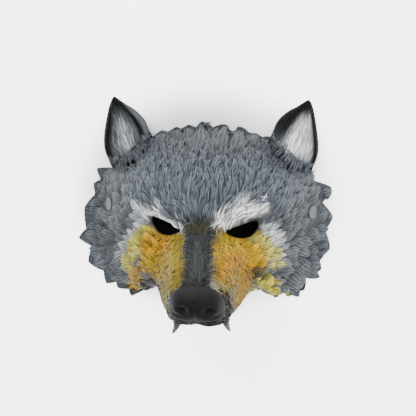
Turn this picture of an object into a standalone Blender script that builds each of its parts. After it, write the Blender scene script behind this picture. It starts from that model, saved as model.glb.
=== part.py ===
"""Foam wolf half mask, lying on its rim with the face up.

X runs across the face, +Y points to the ears and +Z points out of the face. Z = 0 is the
surface that the rim rests on, and X = 0 is the centreline. Left and right are as seen from
the front. Lengths are in metres.
"""

from collections import namedtuple
import math

import bmesh
import bpy
import numpy as np

# Overall sizes of the face, before the tufts of the rim
FACE_WIDTH = 0.234
FACE_HEIGHT = 0.164
MUZZLE_REACH = 0.147

# Foam walls
FOAM_WALL = 0.0042
RIM_WALL = 0.0030
LIP_WALL = 0.0022
SEAT_GAP = 0.0003

# Moulded fur
MUZZLE_RELIEF = 0.0020
CHEEK_RELIEF = 0.0042
ROWS_A_LOCK = 3
TUFT_LENGTH = 0.020
EAR_SEAT_DIP = 0.012

# Ears
EAR_HEIGHT = 0.056
EAR_CUP = 0.012
EAR_WALL = 0.0050
EAR_EDGE = 0.0026
EAR_RIDGE = 0.0008
EAR_ROWS = 12
EAR_CUP_END = 0.35
EAR_CUP_ROUNDNESS = 0.8

# Nose leather
NOSE_THICKNESS = 0.0045
NOSE_EDGE = 0.0012
NOSTRIL_DENT = 0.0030

# Teeth
FANG_LENGTH = 0.0115
FANG_RADIUS = 0.0042
FANG_BEND = 0.0025
FANG_SIDES = 10
FANG_DOWN = (0.12, -1.0, 0.05)
FANG_RINGS = (0.0, 0.3, 0.6, 0.85)
FANG_TAPER = 0.7
TOOTH_GAP = 0.0005
TOOTH_HEIGHT = 0.0058
GUM_HEIGHT = 0.0016
TEETH_IN_A_ROW = 5

# Strap studs
STUD_HEAD_RADIUS = 0.0066
STUD_HEAD_THICKNESS = 0.0018
STUD_STEM_RADIUS = 0.0020
STUD_BACK_RADIUS = 0.0050
STUD_BACK_THICKNESS = 0.0014
STUD_FIT = 0.0004
STUD_SPOT_DEPTH = 0.0014
STUD_BACK_DEPTH = 0.0008
STUD_SIDES = 20

# The face is a family of arches, one inside the other, from the nose end out to the rim.
# Half an arch starts on the centreline (crest), swells to its flank, comes down to the lip
# and rolls under to the hem. x is a share of half FACE_WIDTH, y of FACE_HEIGHT and z of
# MUZZLE_REACH. Fullness above 2 makes the shoulder between crest and flank squarer.
Arch = namedtuple(
    "Arch",
    "crest_y crest_z flank_x flank_y flank_z fullness lip_x lip_y lip_z hem_x hem_y hem_z",
)
ARCHES = {
    "nose_end": Arch(-0.37, 0.975, 0.00, -0.43, 0.975, 2.0, 0.00, -0.53, 0.88, 0.00, -0.50, 0.82),
    "nose_core": Arch(-0.35, 0.965, 0.11, -0.43, 0.95, 2.4, 0.10, -0.535, 0.87, 0.09, -0.50, 0.80),
    "nose_rim": Arch(-0.31, 0.92, 0.20, -0.41, 0.88, 2.4, 0.18, -0.53, 0.83, 0.15, -0.49, 0.77),
    "muzzle_front": Arch(-0.24, 0.84, 0.25, -0.37, 0.77, 2.4, 0.24, -0.51, 0.75, 0.19, -0.47, 0.69),
    "muzzle_middle": Arch(-0.14, 0.71, 0.29, -0.31, 0.61, 2.3, 0.31, -0.48, 0.61, 0.25, -0.44, 0.56),
    "bridge": Arch(-0.03, 0.59, 0.37, -0.22, 0.49, 2.0, 0.385, -0.445, 0.435, 0.325, -0.415, 0.37),
    "brow": Arch(0.085, 0.57, 0.62, -0.145, 0.34, 2.2, 0.48, -0.47, 0.285, 0.39, -0.465, 0.18),
    "face": Arch(0.275, 0.42, 0.84, -0.16, 0.135, 2.2, 0.575, -0.525, 0.15, 0.445, -0.505, 0.08),
    "rim": Arch(0.445, 0.02, 1.00, -0.15, 0.02, 2.2, 0.665, -0.555, 0.02, 0.43, -0.535, 0.02),
}
ARCH_KNOTS = (-0.45, -0.22, 0.0, 0.22, 0.45, 0.82, 1.0)  # mirrored flank to hem, along an arch

# Swells and hollows pressed into the face: centre and radii as shares of half FACE_WIDTH (x)
# and FACE_HEIGHT (y), height as a share of MUZZLE_REACH. Each is made on both sides.
Swell = namedtuple("Swell", "x y radius_x radius_y height")
SWELLS = {
    "brow_ridge": Swell(0.30, 0.03, 0.17, 0.045, 0.034),
    "brow_tip": Swell(0.47, 0.07, 0.12, 0.06, 0.020),
    "eye_socket": Swell(0.33, -0.10, 0.16, 0.06, -0.028),
    "cheek": Swell(0.50, -0.24, 0.16, 0.10, 0.022),
    "temple": Swell(0.70, 0.10, 0.14, 0.12, -0.014),
}

# The tufts round the rim, from the forehead down to the mouth corner. tip and root are
# places along half the rim (0 forehead centre, 1 hem), and root is the notch after the tip.
# Reaches are shares of TUFT_LENGTH, measured outwards from the rim arch.
Tuft = namedtuple("Tuft", "tip reach root root_reach")
TUFTS_LEFT = (
    Tuft(0.024, 0.30, 0.042, -0.08),
    Tuft(0.053, 0.19, 0.070, -0.03),
    Tuft(0.082, 0.15, 0.103, -0.02),
    Tuft(0.118, 0.07, 0.132, 0.00),
    Tuft(0.305, 0.66, 0.328, 0.20),
    Tuft(0.344, 0.49, 0.372, 0.24),
    Tuft(0.416, 0.65, 0.480, 0.53),
    Tuft(0.510, 0.98, 0.544, 0.39),
    Tuft(0.602, 0.88, 0.660, 0.42),
    Tuft(0.722, 0.79, 0.741, 0.36),
    Tuft(0.776, 0.61, 0.826, 0.41),
    Tuft(0.885, 0.88, 0.945, 0.10),
)
TUFTS_RIGHT = (
    Tuft(0.023, 0.20, 0.043, -0.20),
    Tuft(0.060, 0.17, 0.084, -0.06),
    Tuft(0.098, 0.03, 0.116, -0.08),
    Tuft(0.284, 0.03, 0.298, -0.16),
    Tuft(0.332, 0.54, 0.366, -0.14),
    Tuft(0.411, 0.27, 0.453, -0.15),
    Tuft(0.513, 0.21, 0.566, -0.13),
    Tuft(0.606, 0.20, 0.668, -0.20),
    Tuft(0.736, 0.31, 0.863, -0.07),
    Tuft(0.933, 0.55, 0.970, 0.10),
)
EAR_SEAT = (0.132, 0.272)  # where the ear stands along half the rim
EAR_SEAT_COLUMNS = 9

# An ear's two edges and its tip, as shares of half FACE_WIDTH (x), EAR_HEIGHT above the
# middle of its seat (y) and MUZZLE_REACH (z)
EarPoint = namedtuple("EarPoint", "x y z")
EAR_INNER_EDGE = (EarPoint(0.530, 0.55, 0.115), EarPoint(0.640, 0.80, 0.150))
EAR_OUTER_EDGE = (EarPoint(0.870, 0.10, 0.105), EarPoint(0.840, 0.58, 0.150))
EAR_TIP = EarPoint(0.800, 1.00, 0.160)

# The eye hole's outline round its centre, both as shares of its own width and height
EYE_WIDTH = 0.0305
EYE_HEIGHT = 0.0190
EYE_CENTRE = (0.310, -0.070)
EYE_OUTLINE = (
    (-0.50, -0.02),
    (-0.20, 0.20),
    (0.15, 0.42),
    (0.40, 0.50),
    (0.50, 0.20),
    (0.40, -0.30),
    (0.10, -0.50),
    (-0.25, -0.34),
)

# Where the small pieces sit: a place out from the nose end (0) to the rim (1), and a place
# along half an arch
NOSTRIL = (0.11, 0.50)
NOSTRIL_SPREAD = (0.055, 0.10)
FANG_SEATS = {"left": (0.205, 0.85), "right": (0.320, 0.85)}
TOOTH_ROW_SPAN = (0.38, 0.62)
TOOTH_ROW_ALONG = (0.84, 0.88, 0.92)
STUD_SEAT = (0.912, 0.368)

# Where the fur, the swells and the full wall fade in or out: shares of the way out from the
# nose end, or of the way along half an arch where the name says so
NOSE_FADE = 0.06
RIM_FADE = 0.08
LIP_FADE_ALONG = (0.70, 0.80)
LIP_THINS_ALONG = (0.50, 0.80)
SWELLS_FULL = 0.20
DOME_END = 0.25
GROOVE_SHARE = 0.25
DIP_EASE = 1.5
TUFT_THINNING = 0.45

# How finely the shell is divided
ROWS = 24
NOSE_ROWS = 6
NOSE_ALONG = 0.70
SEAT_ROWS = 4
TUFT_ROWS = 2
COLUMNS_A_SIDE = 36
EVEN_UNTIL = 0.30
WALL_SMOOTHING = 12
RIM_EDGE = 0.0005

HALF_WIDTH = FACE_WIDTH / 2
CUTTER_REACH = 0.06
PATCH_STEP = 0.004
EYE_STEPS = 3
SHARP_ANGLE = math.radians(40)
SIDES = {"left": -1, "right": 1}


def smooth_through(knots, points, where):
    """A natural cubic through the points, which stand at the knots, read at each of where."""
    knots = np.asarray(knots, float)
    points = np.asarray(points, float)
    where = np.atleast_1d(np.asarray(where, float))
    steps = np.diff(knots)
    size = len(knots)
    system = np.zeros((size, size))
    bends = np.zeros(points.shape)
    system[0, 0] = system[-1, -1] = 1
    for i in range(1, size - 1):
        system[i, i - 1 : i + 2] = steps[i - 1], 2 * (steps[i - 1] + steps[i]), steps[i]
        after = (points[i + 1] - points[i]) / steps[i]
        before = (points[i] - points[i - 1]) / steps[i - 1]
        bends[i] = 6 * (after - before)
    curvature = np.linalg.solve(system, bends.reshape(size, -1)).reshape(points.shape)
    spot = np.clip(np.searchsorted(knots, where, side="right") - 1, 0, size - 2)
    shape = (-1,) + (1,) * (points.ndim - 1)
    step = steps[spot].reshape(shape)
    a = ((knots[spot + 1] - where) / steps[spot]).reshape(shape)
    b = ((where - knots[spot]) / steps[spot]).reshape(shape)
    bent = (a**3 - a) * curvature[spot] + (b**3 - b) * curvature[spot + 1]
    return a * points[spot] + b * points[spot + 1] + bent * step**2 / 6


def arch_line(arch, along):
    """Points of half an arch, from its crest (0) to its hem (1)."""
    crest = np.array([0.0, arch.crest_y * FACE_HEIGHT, arch.crest_z * MUZZLE_REACH])
    flank, lip, hem = (
        np.array([x * HALF_WIDTH, y * FACE_HEIGHT, z * MUZZLE_REACH])
        for x, y, z in (
            (arch.flank_x, arch.flank_y, arch.flank_z),
            (arch.lip_x, arch.lip_y, arch.lip_z),
            (arch.hem_x, arch.hem_y, arch.hem_z),
        )
    )
    shoulder_share = 0.5 ** (1 / arch.fullness)
    shoulder = crest + (flank - crest) * (1 - shoulder_share)
    shoulder[0] = flank[0] * shoulder_share
    mirror = np.array([-1.0, 1.0, 1.0])
    points = (flank * mirror, shoulder * mirror, crest, shoulder, flank, lip, hem)
    return smooth_through(ARCH_KNOTS, points, along)


def face_skin(out, along):
    """The smooth face as an array of rows by columns by 3. out gives each row's place from
    the nose end (0) to the rim (1), and along each point's place on its arch, negative on
    the left: one list for all rows, or one for each."""
    out = np.atleast_1d(np.asarray(out, float))
    along = np.broadcast_to(along, (len(out), np.shape(along)[-1]))
    knots = np.linspace(0, 1, len(ARCHES))
    rows = []
    for place, stations in zip(out, along):
        lines = np.array([arch_line(arch, np.abs(stations)) for arch in ARCHES.values()])
        row = smooth_through(knots, lines, place)[0]
        row[:, 0] *= np.where(stations < 0, -1, 1)
        rows.append(row)
    return np.array(rows)


def outward_normals(grid):
    """Unit normals of a grid whose rows go outwards and whose columns go left to right."""
    normal = np.cross(np.gradient(grid, axis=1), np.gradient(grid, axis=0))
    return normal / np.maximum(np.linalg.norm(normal, axis=2, keepdims=True), 1e-12)


def face_frame(out, along):
    """Points of the smooth face and the outward normals there, for matching lists."""
    points, normals = [], []
    steps = np.array([-PATCH_STEP, 0, PATCH_STEP])
    for place, station in zip(np.atleast_1d(out), np.atleast_1d(along)):
        patch = face_skin(place + steps, station + steps)
        points.append(patch[1, 1])
        normals.append(outward_normals(patch)[1, 1])
    return np.array(points), np.array(normals)


def share_between(ends, values):
    """How far values have gone from the first of ends to the second, from 0 to 1."""
    return np.clip((values - ends[0]) / (ends[1] - ends[0]), 0, 1)


def swell_height(points):
    """How far the swells push the face out at each point."""
    height = np.zeros(points.shape[:-1])
    for swell in SWELLS.values():
        across = (np.abs(points[..., 0]) / HALF_WIDTH - swell.x) / swell.radius_x
        up = (points[..., 1] / FACE_HEIGHT - swell.y) / swell.radius_y
        height += swell.height * MUZZLE_REACH * np.exp(-(across**2) - up**2)
    return height


def rim_stations(tufts):
    """The grid's columns along half the rim, and how far the rim reaches out at each."""
    marks = {0.0: 0.0, 1.0: 0.0}
    for tuft in tufts:
        marks[tuft.tip] = tuft.reach * TUFT_LENGTH
        marks[tuft.root] = tuft.root_reach * TUFT_LENGTH
    for place in np.linspace(*EAR_SEAT, EAR_SEAT_COLUMNS):
        share = (place - EAR_SEAT[0]) / (EAR_SEAT[1] - EAR_SEAT[0])
        marks[float(place)] = -EAR_SEAT_DIP * math.sin(math.pi * share)
    stations = sorted(marks.items())
    while len(stations) < COLUMNS_A_SIDE:
        gaps = [b[0] - a[0] for a, b in zip(stations, stations[1:])]
        widest = gaps.index(max(gaps))
        before, after = stations[widest : widest + 2]
        middle = ((before[0] + after[0]) / 2, (before[1] + after[1]) / 2)
        stations.insert(widest + 1, middle)
    return np.array(stations).T


def grid_columns():
    """Signed places of the columns at the rim, and the rim's reach at each."""
    left, left_reach = rim_stations(TUFTS_LEFT)
    right, right_reach = rim_stations(TUFTS_RIGHT)
    places = np.concatenate([-left[:0:-1], right])
    return places, np.concatenate([left_reach[:0:-1], right_reach])


def face_stations():
    """Each row's place from the nose end to the rim, and each point's place on its arch:
    evenly spaced at the nose, where the two halves meet, and at the tufts at the rim."""
    out = np.linspace(0, 1, ROWS + 1)
    rim_places, _ = grid_columns()
    even = np.linspace(-1, 1, len(rim_places))
    share = np.clip((out - EVEN_UNTIL) / (1 - EVEN_UNTIL), 0, 1)[:, None]
    return out, even * (1 - share) + rim_places * share


def lock_height(row, column):
    """Rows of moulded locks: each swells towards its tip and drops there, and every other
    column is a groove. Neighbouring locks are staggered."""
    shift = (column // 2) % 2
    swell = (row + shift) % ROWS_A_LOCK / (ROWS_A_LOCK - 1)
    return swell * (1.0 if column % 2 == 0 else GROOVE_SHARE)


def shell_grids():
    """The outer and inner skins of the foam shell."""
    out, along = face_stations()
    _, reach = grid_columns()
    base = face_skin(out, along)
    normal = outward_normals(base)
    normal[0] = normal[1]
    normal[0, :, 0] = 0
    normal[0] /= np.linalg.norm(normal[0], axis=1, keepdims=True)

    past_nose = np.clip((out - NOSE_ROWS / ROWS) / NOSE_FADE, 0, 1)
    before_rim = np.clip((1 - out) / RIM_FADE, 0, 1)
    before_lip = 1 - share_between(LIP_FADE_ALONG, np.abs(along))
    locks = np.array([[lock_height(r, c) for c in range(len(reach))] for r in range(len(out))])
    locks *= (past_nose * before_rim)[:, None] * before_lip
    swell = swell_height(base) * share_between((0, SWELLS_FULL), out)[:, None]
    relief = (MUZZLE_RELIEF + (CHEEK_RELIEF - MUZZLE_RELIEF) * out)[:, None]
    outer = base + normal * (swell + relief * locks)[:, :, None]

    inward = normal.copy()
    inward[:, :, 0] *= share_between((0, DOME_END), out)[:, None]
    for _ in range(WALL_SMOOTHING):
        inward[:, 1:-1] = (inward[:, :-2] + 2 * inward[:, 1:-1] + inward[:, 2:]) / 4
    near_hem = share_between(LIP_THINS_ALONG, np.abs(along))
    wall = FOAM_WALL + (LIP_WALL - FOAM_WALL) * near_hem
    inner = base + normal * swell[:, :, None] - inward * wall[:, :, None]

    away = base[-1] - np.array([0, ARCHES["rim"].flank_y * FACE_HEIGHT, 0])
    away[:, 2] = 0
    away /= np.linalg.norm(away, axis=1, keepdims=True)
    outer[-1, :, 2] = RIM_WALL
    inner[-1] = outer[-1] - away * RIM_WALL / 2
    inner[-1, :, 2] = 0
    dip = away * np.minimum(reach, 0)[:, None]
    for row in range(ROWS - SEAT_ROWS, ROWS + 1):
        share = ((row - ROWS + SEAT_ROWS) / SEAT_ROWS) ** DIP_EASE
        outer[row] += dip * share
        inner[row] += dip * share
    inner[:, :, 2] = np.maximum(inner[:, :, 2], 0)

    tuft_rows = [outer], [inner]
    outward = np.maximum(reach, 0)
    for row in range(1, TUFT_ROWS + 1):
        share = row / TUFT_ROWS
        step = away * (outward * share + RIM_EDGE * share)[:, None]
        tip = outer[-1] + step
        tip[:, 2] = RIM_WALL * (1 - TUFT_THINNING * share * outward / TUFT_LENGTH)
        under = inner[-1] + step + away * RIM_WALL / 2 * share
        under[:, 2] = 0
        tuft_rows[0].append(tip[None])
        tuft_rows[1].append(under[None])
    return np.concatenate(tuft_rows[0]), np.concatenate(tuft_rows[1])


def add_object(name, vertices, faces, material):
    """A mesh object with its doubles merged and its faces turned outwards."""
    mesh = bpy.data.meshes.new(name)
    bm = bmesh.new()
    corners = [bm.verts.new(v) for v in vertices]
    for face in faces:
        ring = [corners[i] for i in dict.fromkeys(face)]
        if len(ring) > 2:
            bm.faces.new(ring)
    bmesh.ops.remove_doubles(bm, verts=bm.verts, dist=1e-6)
    bmesh.ops.dissolve_degenerate(bm, edges=bm.edges, dist=1e-7)
    bmesh.ops.recalc_face_normals(bm, faces=bm.faces)
    bm.to_mesh(mesh)
    bm.free()
    mesh.shade_smooth()
    mesh.set_sharp_from_angle(angle=SHARP_ANGLE)
    mesh.materials.append(material)
    piece = bpy.data.objects.new(name, mesh)
    bpy.context.scene.collection.objects.link(piece)
    return piece


def closed_sheet(top, bottom, halves_meet=False):
    """Vertices and faces of the solid between two grids. Where halves_meet, the first row is
    a slit whose two halves coincide, so it has no wall of its own."""
    rows, columns = top.shape[:2]
    vertices = np.concatenate([top.reshape(-1, 3), bottom.reshape(-1, 3)])

    def corner(row, column, side):
        if halves_meet and row == 0 and column > columns // 2:
            column = columns - 1 - column
        return side * rows * columns + row * columns + column

    faces = []
    for r in range(rows - 1):
        for c in range(columns - 1):
            for side in (0, 1):
                ring = ((r, c), (r, c + 1), (r + 1, c + 1), (r + 1, c))
                faces.append([corner(*spot, side) for spot in ring])
    edges = [((r, c), (r + 1, c)) for r in range(rows - 1) for c in (0, columns - 1)]
    for r in (rows - 1,) if halves_meet else (0, rows - 1):
        edges += [((r, c), (r, c + 1)) for c in range(columns - 1)]
    for a, b in edges:
        faces.append([corner(*a, 0), corner(*b, 0), corner(*b, 1), corner(*a, 1)])
    return vertices, faces


def faces_of_rings(rings, sides):
    """Faces of a closed body whose first two vertices are its ends, with rings between."""
    faces = []
    last = 2 + (rings - 1) * sides
    for k in range(sides):
        following = (k + 1) % sides
        faces.append([0, 2 + k, 2 + following])
        faces.append([1, last + following, last + k])
        for ring in range(rings - 1):
            first = 2 + ring * sides
            second = first + sides
            faces.append([first + k, second + k, second + following, first + following])
    return faces


def turned(profile, centre, axis):
    """Vertices and faces of a solid turned round an axis, from (radius, height) pairs that
    start and end on the axis."""
    axis = axis / np.linalg.norm(axis)
    across = np.cross(axis, (0, 1, 0))
    across /= np.linalg.norm(across)
    up = np.cross(axis, across)
    vertices = [centre + axis * profile[0][1], centre + axis * profile[-1][1]]
    for radius, height in profile[1:-1]:
        for k in range(STUD_SIDES):
            turn = 2 * math.pi * k / STUD_SIDES
            ring_point = across * math.cos(turn) + up * math.sin(turn)
            vertices.append(centre + axis * height + ring_point * radius)
    return vertices, faces_of_rings(len(profile) - 2, STUD_SIDES)


def cutter(name, vertices, faces, target):
    """A hidden solid that is cut out of the target."""
    tool = add_object(name, vertices, faces, target.data.materials[0])
    tool.hide_render = True
    tool.display_type = "WIRE"
    cut = target.modifiers.new(name, "BOOLEAN")
    cut.operation = "DIFFERENCE"
    cut.solver = "EXACT"
    cut.object = tool
    return tool


def eye_prism(side):
    """A prism through the face with the eye hole's outline."""
    corners = len(EYE_OUTLINE)
    around = np.linspace(0, corners, EYE_STEPS * corners, endpoint=False)
    wrapped = np.array(EYE_OUTLINE * 3)
    outline = smooth_through(np.arange(-corners, 2 * corners), wrapped, around)
    rings = []
    centre_x = side * EYE_CENTRE[0] * HALF_WIDTH
    centre_y = EYE_CENTRE[1] * FACE_HEIGHT
    for height in (-CUTTER_REACH, CUTTER_REACH + MUZZLE_REACH):
        ring = np.zeros((len(outline), 3))
        ring[:, 0] = centre_x + side * outline[:, 0] * EYE_WIDTH
        ring[:, 1] = centre_y + outline[:, 1] * EYE_HEIGHT
        ring[:, 2] = height
        rings.append(ring)
    count = len(outline)
    faces = [list(range(count)), list(range(count, 2 * count))]
    for k in range(count):
        faces.append([k, (k + 1) % count, count + (k + 1) % count, count + k])
    return np.concatenate(rings), faces


def stud_place(side):
    """Where a strap stud stands: a point of the smooth face, and its outward normal."""
    point, normal = face_frame(STUD_SEAT[0], side * STUD_SEAT[1])
    return point[0], normal[0]


def make_shell(material):
    """The foam face with its muzzle, eye holes, rim tufts and seats for the strap studs."""
    outer, inner = shell_grids()
    shell = add_object("foam_shell", *closed_sheet(outer, inner, halves_meet=True), material)
    tools = []
    for name, side in SIDES.items():
        tools.append(cutter(f"eye_cutter_{name}", *eye_prism(side), shell))
        centre, axis = stud_place(side)
        spot = STUD_HEAD_RADIUS + STUD_FIT
        hole = STUD_STEM_RADIUS + STUD_FIT
        back = STUD_BACK_RADIUS + STUD_FIT
        profile = (
            (0, -2 * FOAM_WALL),
            (back, -2 * FOAM_WALL),
            (back, STUD_BACK_DEPTH - FOAM_WALL),
            (hole, STUD_BACK_DEPTH - FOAM_WALL),
            (hole, -STUD_SPOT_DEPTH),
            (spot, -STUD_SPOT_DEPTH),
            (spot, 2 * FOAM_WALL),
            (0, 2 * FOAM_WALL),
        )
        tools.append(cutter(f"stud_cutter_{name}", *turned(profile, centre, axis), shell))
    return shell, tools


def make_stud(name, side, material):
    """A strap stud: a flat head in its spot face, a stem through the foam and a back."""
    centre, axis = stud_place(side)
    head = -STUD_SPOT_DEPTH + SEAT_GAP
    top = head + STUD_HEAD_THICKNESS
    back = STUD_BACK_DEPTH - FOAM_WALL - SEAT_GAP
    bevel = STUD_HEAD_THICKNESS / 4
    profile = (
        (0, top),
        (STUD_HEAD_RADIUS - bevel, top),
        (STUD_HEAD_RADIUS, top - bevel),
        (STUD_HEAD_RADIUS, head),
        (STUD_STEM_RADIUS, head),
        (STUD_STEM_RADIUS, back),
        (STUD_BACK_RADIUS, back),
        (STUD_BACK_RADIUS, back - STUD_BACK_THICKNESS),
        (0, back - STUD_BACK_THICKNESS),
    )
    return add_object(name, *turned(profile, centre, axis), material)


def ear_edge(root, points, tip, seat_y, side):
    """The line of an ear's edge from its root to the tip, as a function of 0 to 1."""
    places = [
        (side * p.x * HALF_WIDTH, seat_y + p.y * EAR_HEIGHT, p.z * MUZZLE_REACH)
        for p in (*points, tip)
    ]
    line = np.array([root, *places])
    return lambda share: smooth_through(np.linspace(0, 1, len(line)), line, share)


def make_ear(name, side, material):
    """A cupped ear that carries on the foam from its seat in the rim."""
    outer, inner = shell_grids()
    places, _ = grid_columns()
    here = side * places
    seat = [k for k in range(len(places)) if EAR_SEAT[0] - 1e-6 <= here[k] <= EAR_SEAT[1] + 1e-6]
    seat = seat if side > 0 else seat[::-1]
    gap = side * np.cross((0, 0, SEAT_GAP), np.gradient(outer[-1, seat], axis=0))
    gap *= SEAT_GAP / np.linalg.norm(gap, axis=1, keepdims=True)
    front_root = outer[-1, seat] + gap
    back_root = inner[-1, seat] + gap
    seat_y = (front_root[0, 1] + front_root[-1, 1]) / 2
    inner_edge = ear_edge(front_root[0], EAR_INNER_EDGE, EAR_TIP, seat_y, side)
    outer_edge = ear_edge(front_root[-1], EAR_OUTER_EDGE, EAR_TIP, seat_y, side)
    across = np.linspace(0, 1, len(seat))
    up = np.linspace(0, 1, EAR_ROWS)
    straight_root = front_root[0] + (front_root[-1] - front_root[0]) * across[:, None]
    front = np.zeros((EAR_ROWS, len(seat), 3))
    for row, share in enumerate(up):
        start, end = inner_edge(share)[0], outer_edge(share)[0]
        line = start + (end - start) * across[:, None]
        line += (front_root - straight_root) * (1 - share) ** 2
        deep = min(1, share / EAR_CUP_END) ** 2 * min(1, (1 - share) / EAR_CUP_END)
        cup = EAR_CUP * np.sin(math.pi * across) ** EAR_CUP_ROUNDNESS * deep
        ridge = EAR_RIDGE * (np.arange(len(seat)) % 2) * math.sin(math.pi * share)
        line[:, 2] += ridge - cup
        front[row] = line
    thickness = EAR_EDGE + (EAR_WALL - EAR_EDGE) * np.outer(1 - up, np.sin(math.pi * across))
    facing = outward_normals(front[:, ::side])[:, ::side]
    back = front - facing * thickness[:, :, None]
    back[:, :, 2] = np.maximum(back[:, :, 2], SEAT_GAP)
    back[0] = back_root
    front[-1] = front[-1].mean(axis=0)
    back[-1] = back[-1].mean(axis=0)
    return add_object(name, *closed_sheet(front, back), material)


def make_nose(material):
    """The nose leather: a pad over the muzzle's end, thick in the middle, with nostrils."""
    outer, _ = shell_grids()
    out, along = face_stations()
    columns = [k for k in range(along.shape[1]) if abs(along[0, k]) <= NOSE_ALONG]
    seat = outer[: NOSE_ROWS + 1, columns]
    normal = outward_normals(seat)
    normal[0] = normal[1]
    normal[0, :, 0] = 0
    normal[0] /= np.linalg.norm(normal[0], axis=1, keepdims=True)
    rows = (out[: NOSE_ROWS + 1] / out[NOSE_ROWS])[:, None]
    ends = (along[: NOSE_ROWS + 1, columns] / NOSE_ALONG) ** 2
    dome = np.sqrt(np.clip((1 - rows**3) * (1 - ends**4), 0, 1))
    height = NOSE_EDGE + (NOSE_THICKNESS - NOSE_EDGE) * dome
    away_out = (out[: NOSE_ROWS + 1, None] - NOSTRIL[0]) / NOSTRIL_SPREAD[0]
    away_along = (np.abs(along[: NOSE_ROWS + 1, columns]) - NOSTRIL[1]) / NOSTRIL_SPREAD[1]
    height -= NOSTRIL_DENT * np.exp(-(away_out**2) - away_along**2)
    under = seat + normal * SEAT_GAP
    top = under + normal * height[:, :, None]
    return add_object("nose_pad", *closed_sheet(top, under, halves_meet=True), material)


def make_fang(name, side, seat, material):
    """A curved fang whose root follows the underside of the lip."""
    out, along = seat
    around = np.linspace(0, 2 * math.pi, FANG_SIDES, endpoint=False)
    centre, normal = face_frame(out, side * along)
    centre, normal = centre[0], normal[0]
    ahead = face_frame(out + PATCH_STEP, side * along)[0][0] - centre
    ahead /= np.linalg.norm(ahead)
    over = np.cross(normal, ahead)
    root = centre + normal * TOOTH_GAP
    down = np.array(FANG_DOWN) * (side, 1, 1)
    rings = []
    for share in FANG_RINGS:
        middle = root + down * FANG_LENGTH * share
        middle[0] += side * FANG_BEND * share**2
        radius = FANG_RADIUS * (1 - share) ** FANG_TAPER
        ring = [middle + (ahead * math.cos(a) + over * math.sin(a)) * radius for a in around]
        rings.append(ring)
    tip = root + down * FANG_LENGTH
    tip[0] += side * FANG_BEND
    vertices = [root, tip, *(point for ring in rings for point in ring)]
    return add_object(name, vertices, faces_of_rings(len(rings), FANG_SIDES), material)


def make_tooth_row(name, side, material):
    """A strip of gum under the lip with its side teeth."""
    stations = np.linspace(*TOOTH_ROW_SPAN, 2 * TEETH_IN_A_ROW + 1)
    grid_out, grid_along = np.meshgrid(stations, side * np.array(TOOTH_ROW_ALONG), indexing="ij")
    points, normals = face_frame(grid_out.ravel(), grid_along.ravel())
    points = points.reshape(*grid_out.shape, 3)
    normals = normals.reshape(*grid_out.shape, 3)
    under = points + normals * TOOTH_GAP
    height = np.full(grid_out.shape, GUM_HEIGHT)
    height[1::2, 1] += TOOTH_HEIGHT
    top = under + normals * height[:, :, None]
    return add_object(name, *closed_sheet(top, under), material)


def paint(name, colour, roughness):
    """A painted foam finish."""
    material = bpy.data.materials.new(name)
    material.use_nodes = True
    shader = material.node_tree.nodes["Principled BSDF"]
    shader.inputs["Base Color"].default_value = (*colour, 1)
    shader.inputs["Roughness"].default_value = roughness
    shader.inputs["Metallic"].default_value = 0
    material.diffuse_color = (*colour, 1)
    return material


def centre_on_origin(pieces, tools):
    """Moves everything so that the origin is the middle of the underside of the whole mask."""
    bpy.context.view_layer.update()
    corners = np.array([v.co for piece in pieces for v in piece.data.vertices])
    low, high = corners.min(axis=0), corners.max(axis=0)
    shift = ((low[0] + high[0]) / 2, (low[1] + high[1]) / 2, low[2])
    for piece in (*pieces, *tools):
        piece.location = (-shift[0], -shift[1], -shift[2])
    bpy.context.view_layer.update()


def main():
    for thing in list(bpy.data.objects):
        bpy.data.objects.remove(thing)
    fur = paint("grey_foam_paint", (0.19, 0.21, 0.24), 0.6)
    ear = paint("dark_ear_paint", (0.12, 0.13, 0.14), 0.6)
    nose = paint("black_nose_paint", (0.012, 0.012, 0.013), 0.45)
    tooth = paint("ivory_tooth_paint", (0.62, 0.58, 0.47), 0.4)
    stud = paint("grey_stud_plastic", (0.16, 0.17, 0.19), 0.5)

    shell, tools = make_shell(fur)
    pieces = [shell, make_nose(nose)]
    for name, side in SIDES.items():
        pieces.append(make_ear(f"ear_{name}", side, ear))
        pieces.append(make_fang(f"fang_{name}", side, FANG_SEATS[name], tooth))
        pieces.append(make_tooth_row(f"tooth_row_{name}", side, tooth))
        pieces.append(make_stud(f"strap_stud_{name}", side, stud))
    centre_on_origin(pieces, tools)


main()
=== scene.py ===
"""Look of a moulded foam wolf half mask that lies on its rim with the face up.

The face is the same family of arches as the CAD part's, divided more finely. Locks of fur,
each a small closed leaf with its strands, are laid on it by Geometry Nodes. Sizes in the
tables are in millimetres or shares, and everything built is in metres.
"""

from collections import namedtuple
import math

import bmesh
import bpy
import numpy as np
from mathutils import Matrix, Vector


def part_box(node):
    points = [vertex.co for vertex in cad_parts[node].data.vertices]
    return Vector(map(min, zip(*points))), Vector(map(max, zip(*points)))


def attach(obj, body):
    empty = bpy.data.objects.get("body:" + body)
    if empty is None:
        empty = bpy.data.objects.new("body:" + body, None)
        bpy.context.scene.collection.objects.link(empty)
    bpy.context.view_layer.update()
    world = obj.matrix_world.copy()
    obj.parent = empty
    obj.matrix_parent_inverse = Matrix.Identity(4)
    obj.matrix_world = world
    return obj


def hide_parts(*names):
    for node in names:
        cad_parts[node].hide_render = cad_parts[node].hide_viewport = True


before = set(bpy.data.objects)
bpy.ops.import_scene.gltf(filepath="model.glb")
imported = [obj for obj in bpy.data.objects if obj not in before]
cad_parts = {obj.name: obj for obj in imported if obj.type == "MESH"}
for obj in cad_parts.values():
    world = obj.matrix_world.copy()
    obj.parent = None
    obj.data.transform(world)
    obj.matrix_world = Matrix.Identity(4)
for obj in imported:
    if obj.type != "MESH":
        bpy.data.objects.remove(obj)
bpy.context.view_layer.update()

MM = 0.001
FACE_WIDTH = 0.234
FACE_HEIGHT = 0.164
MUZZLE_REACH = 0.147
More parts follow.
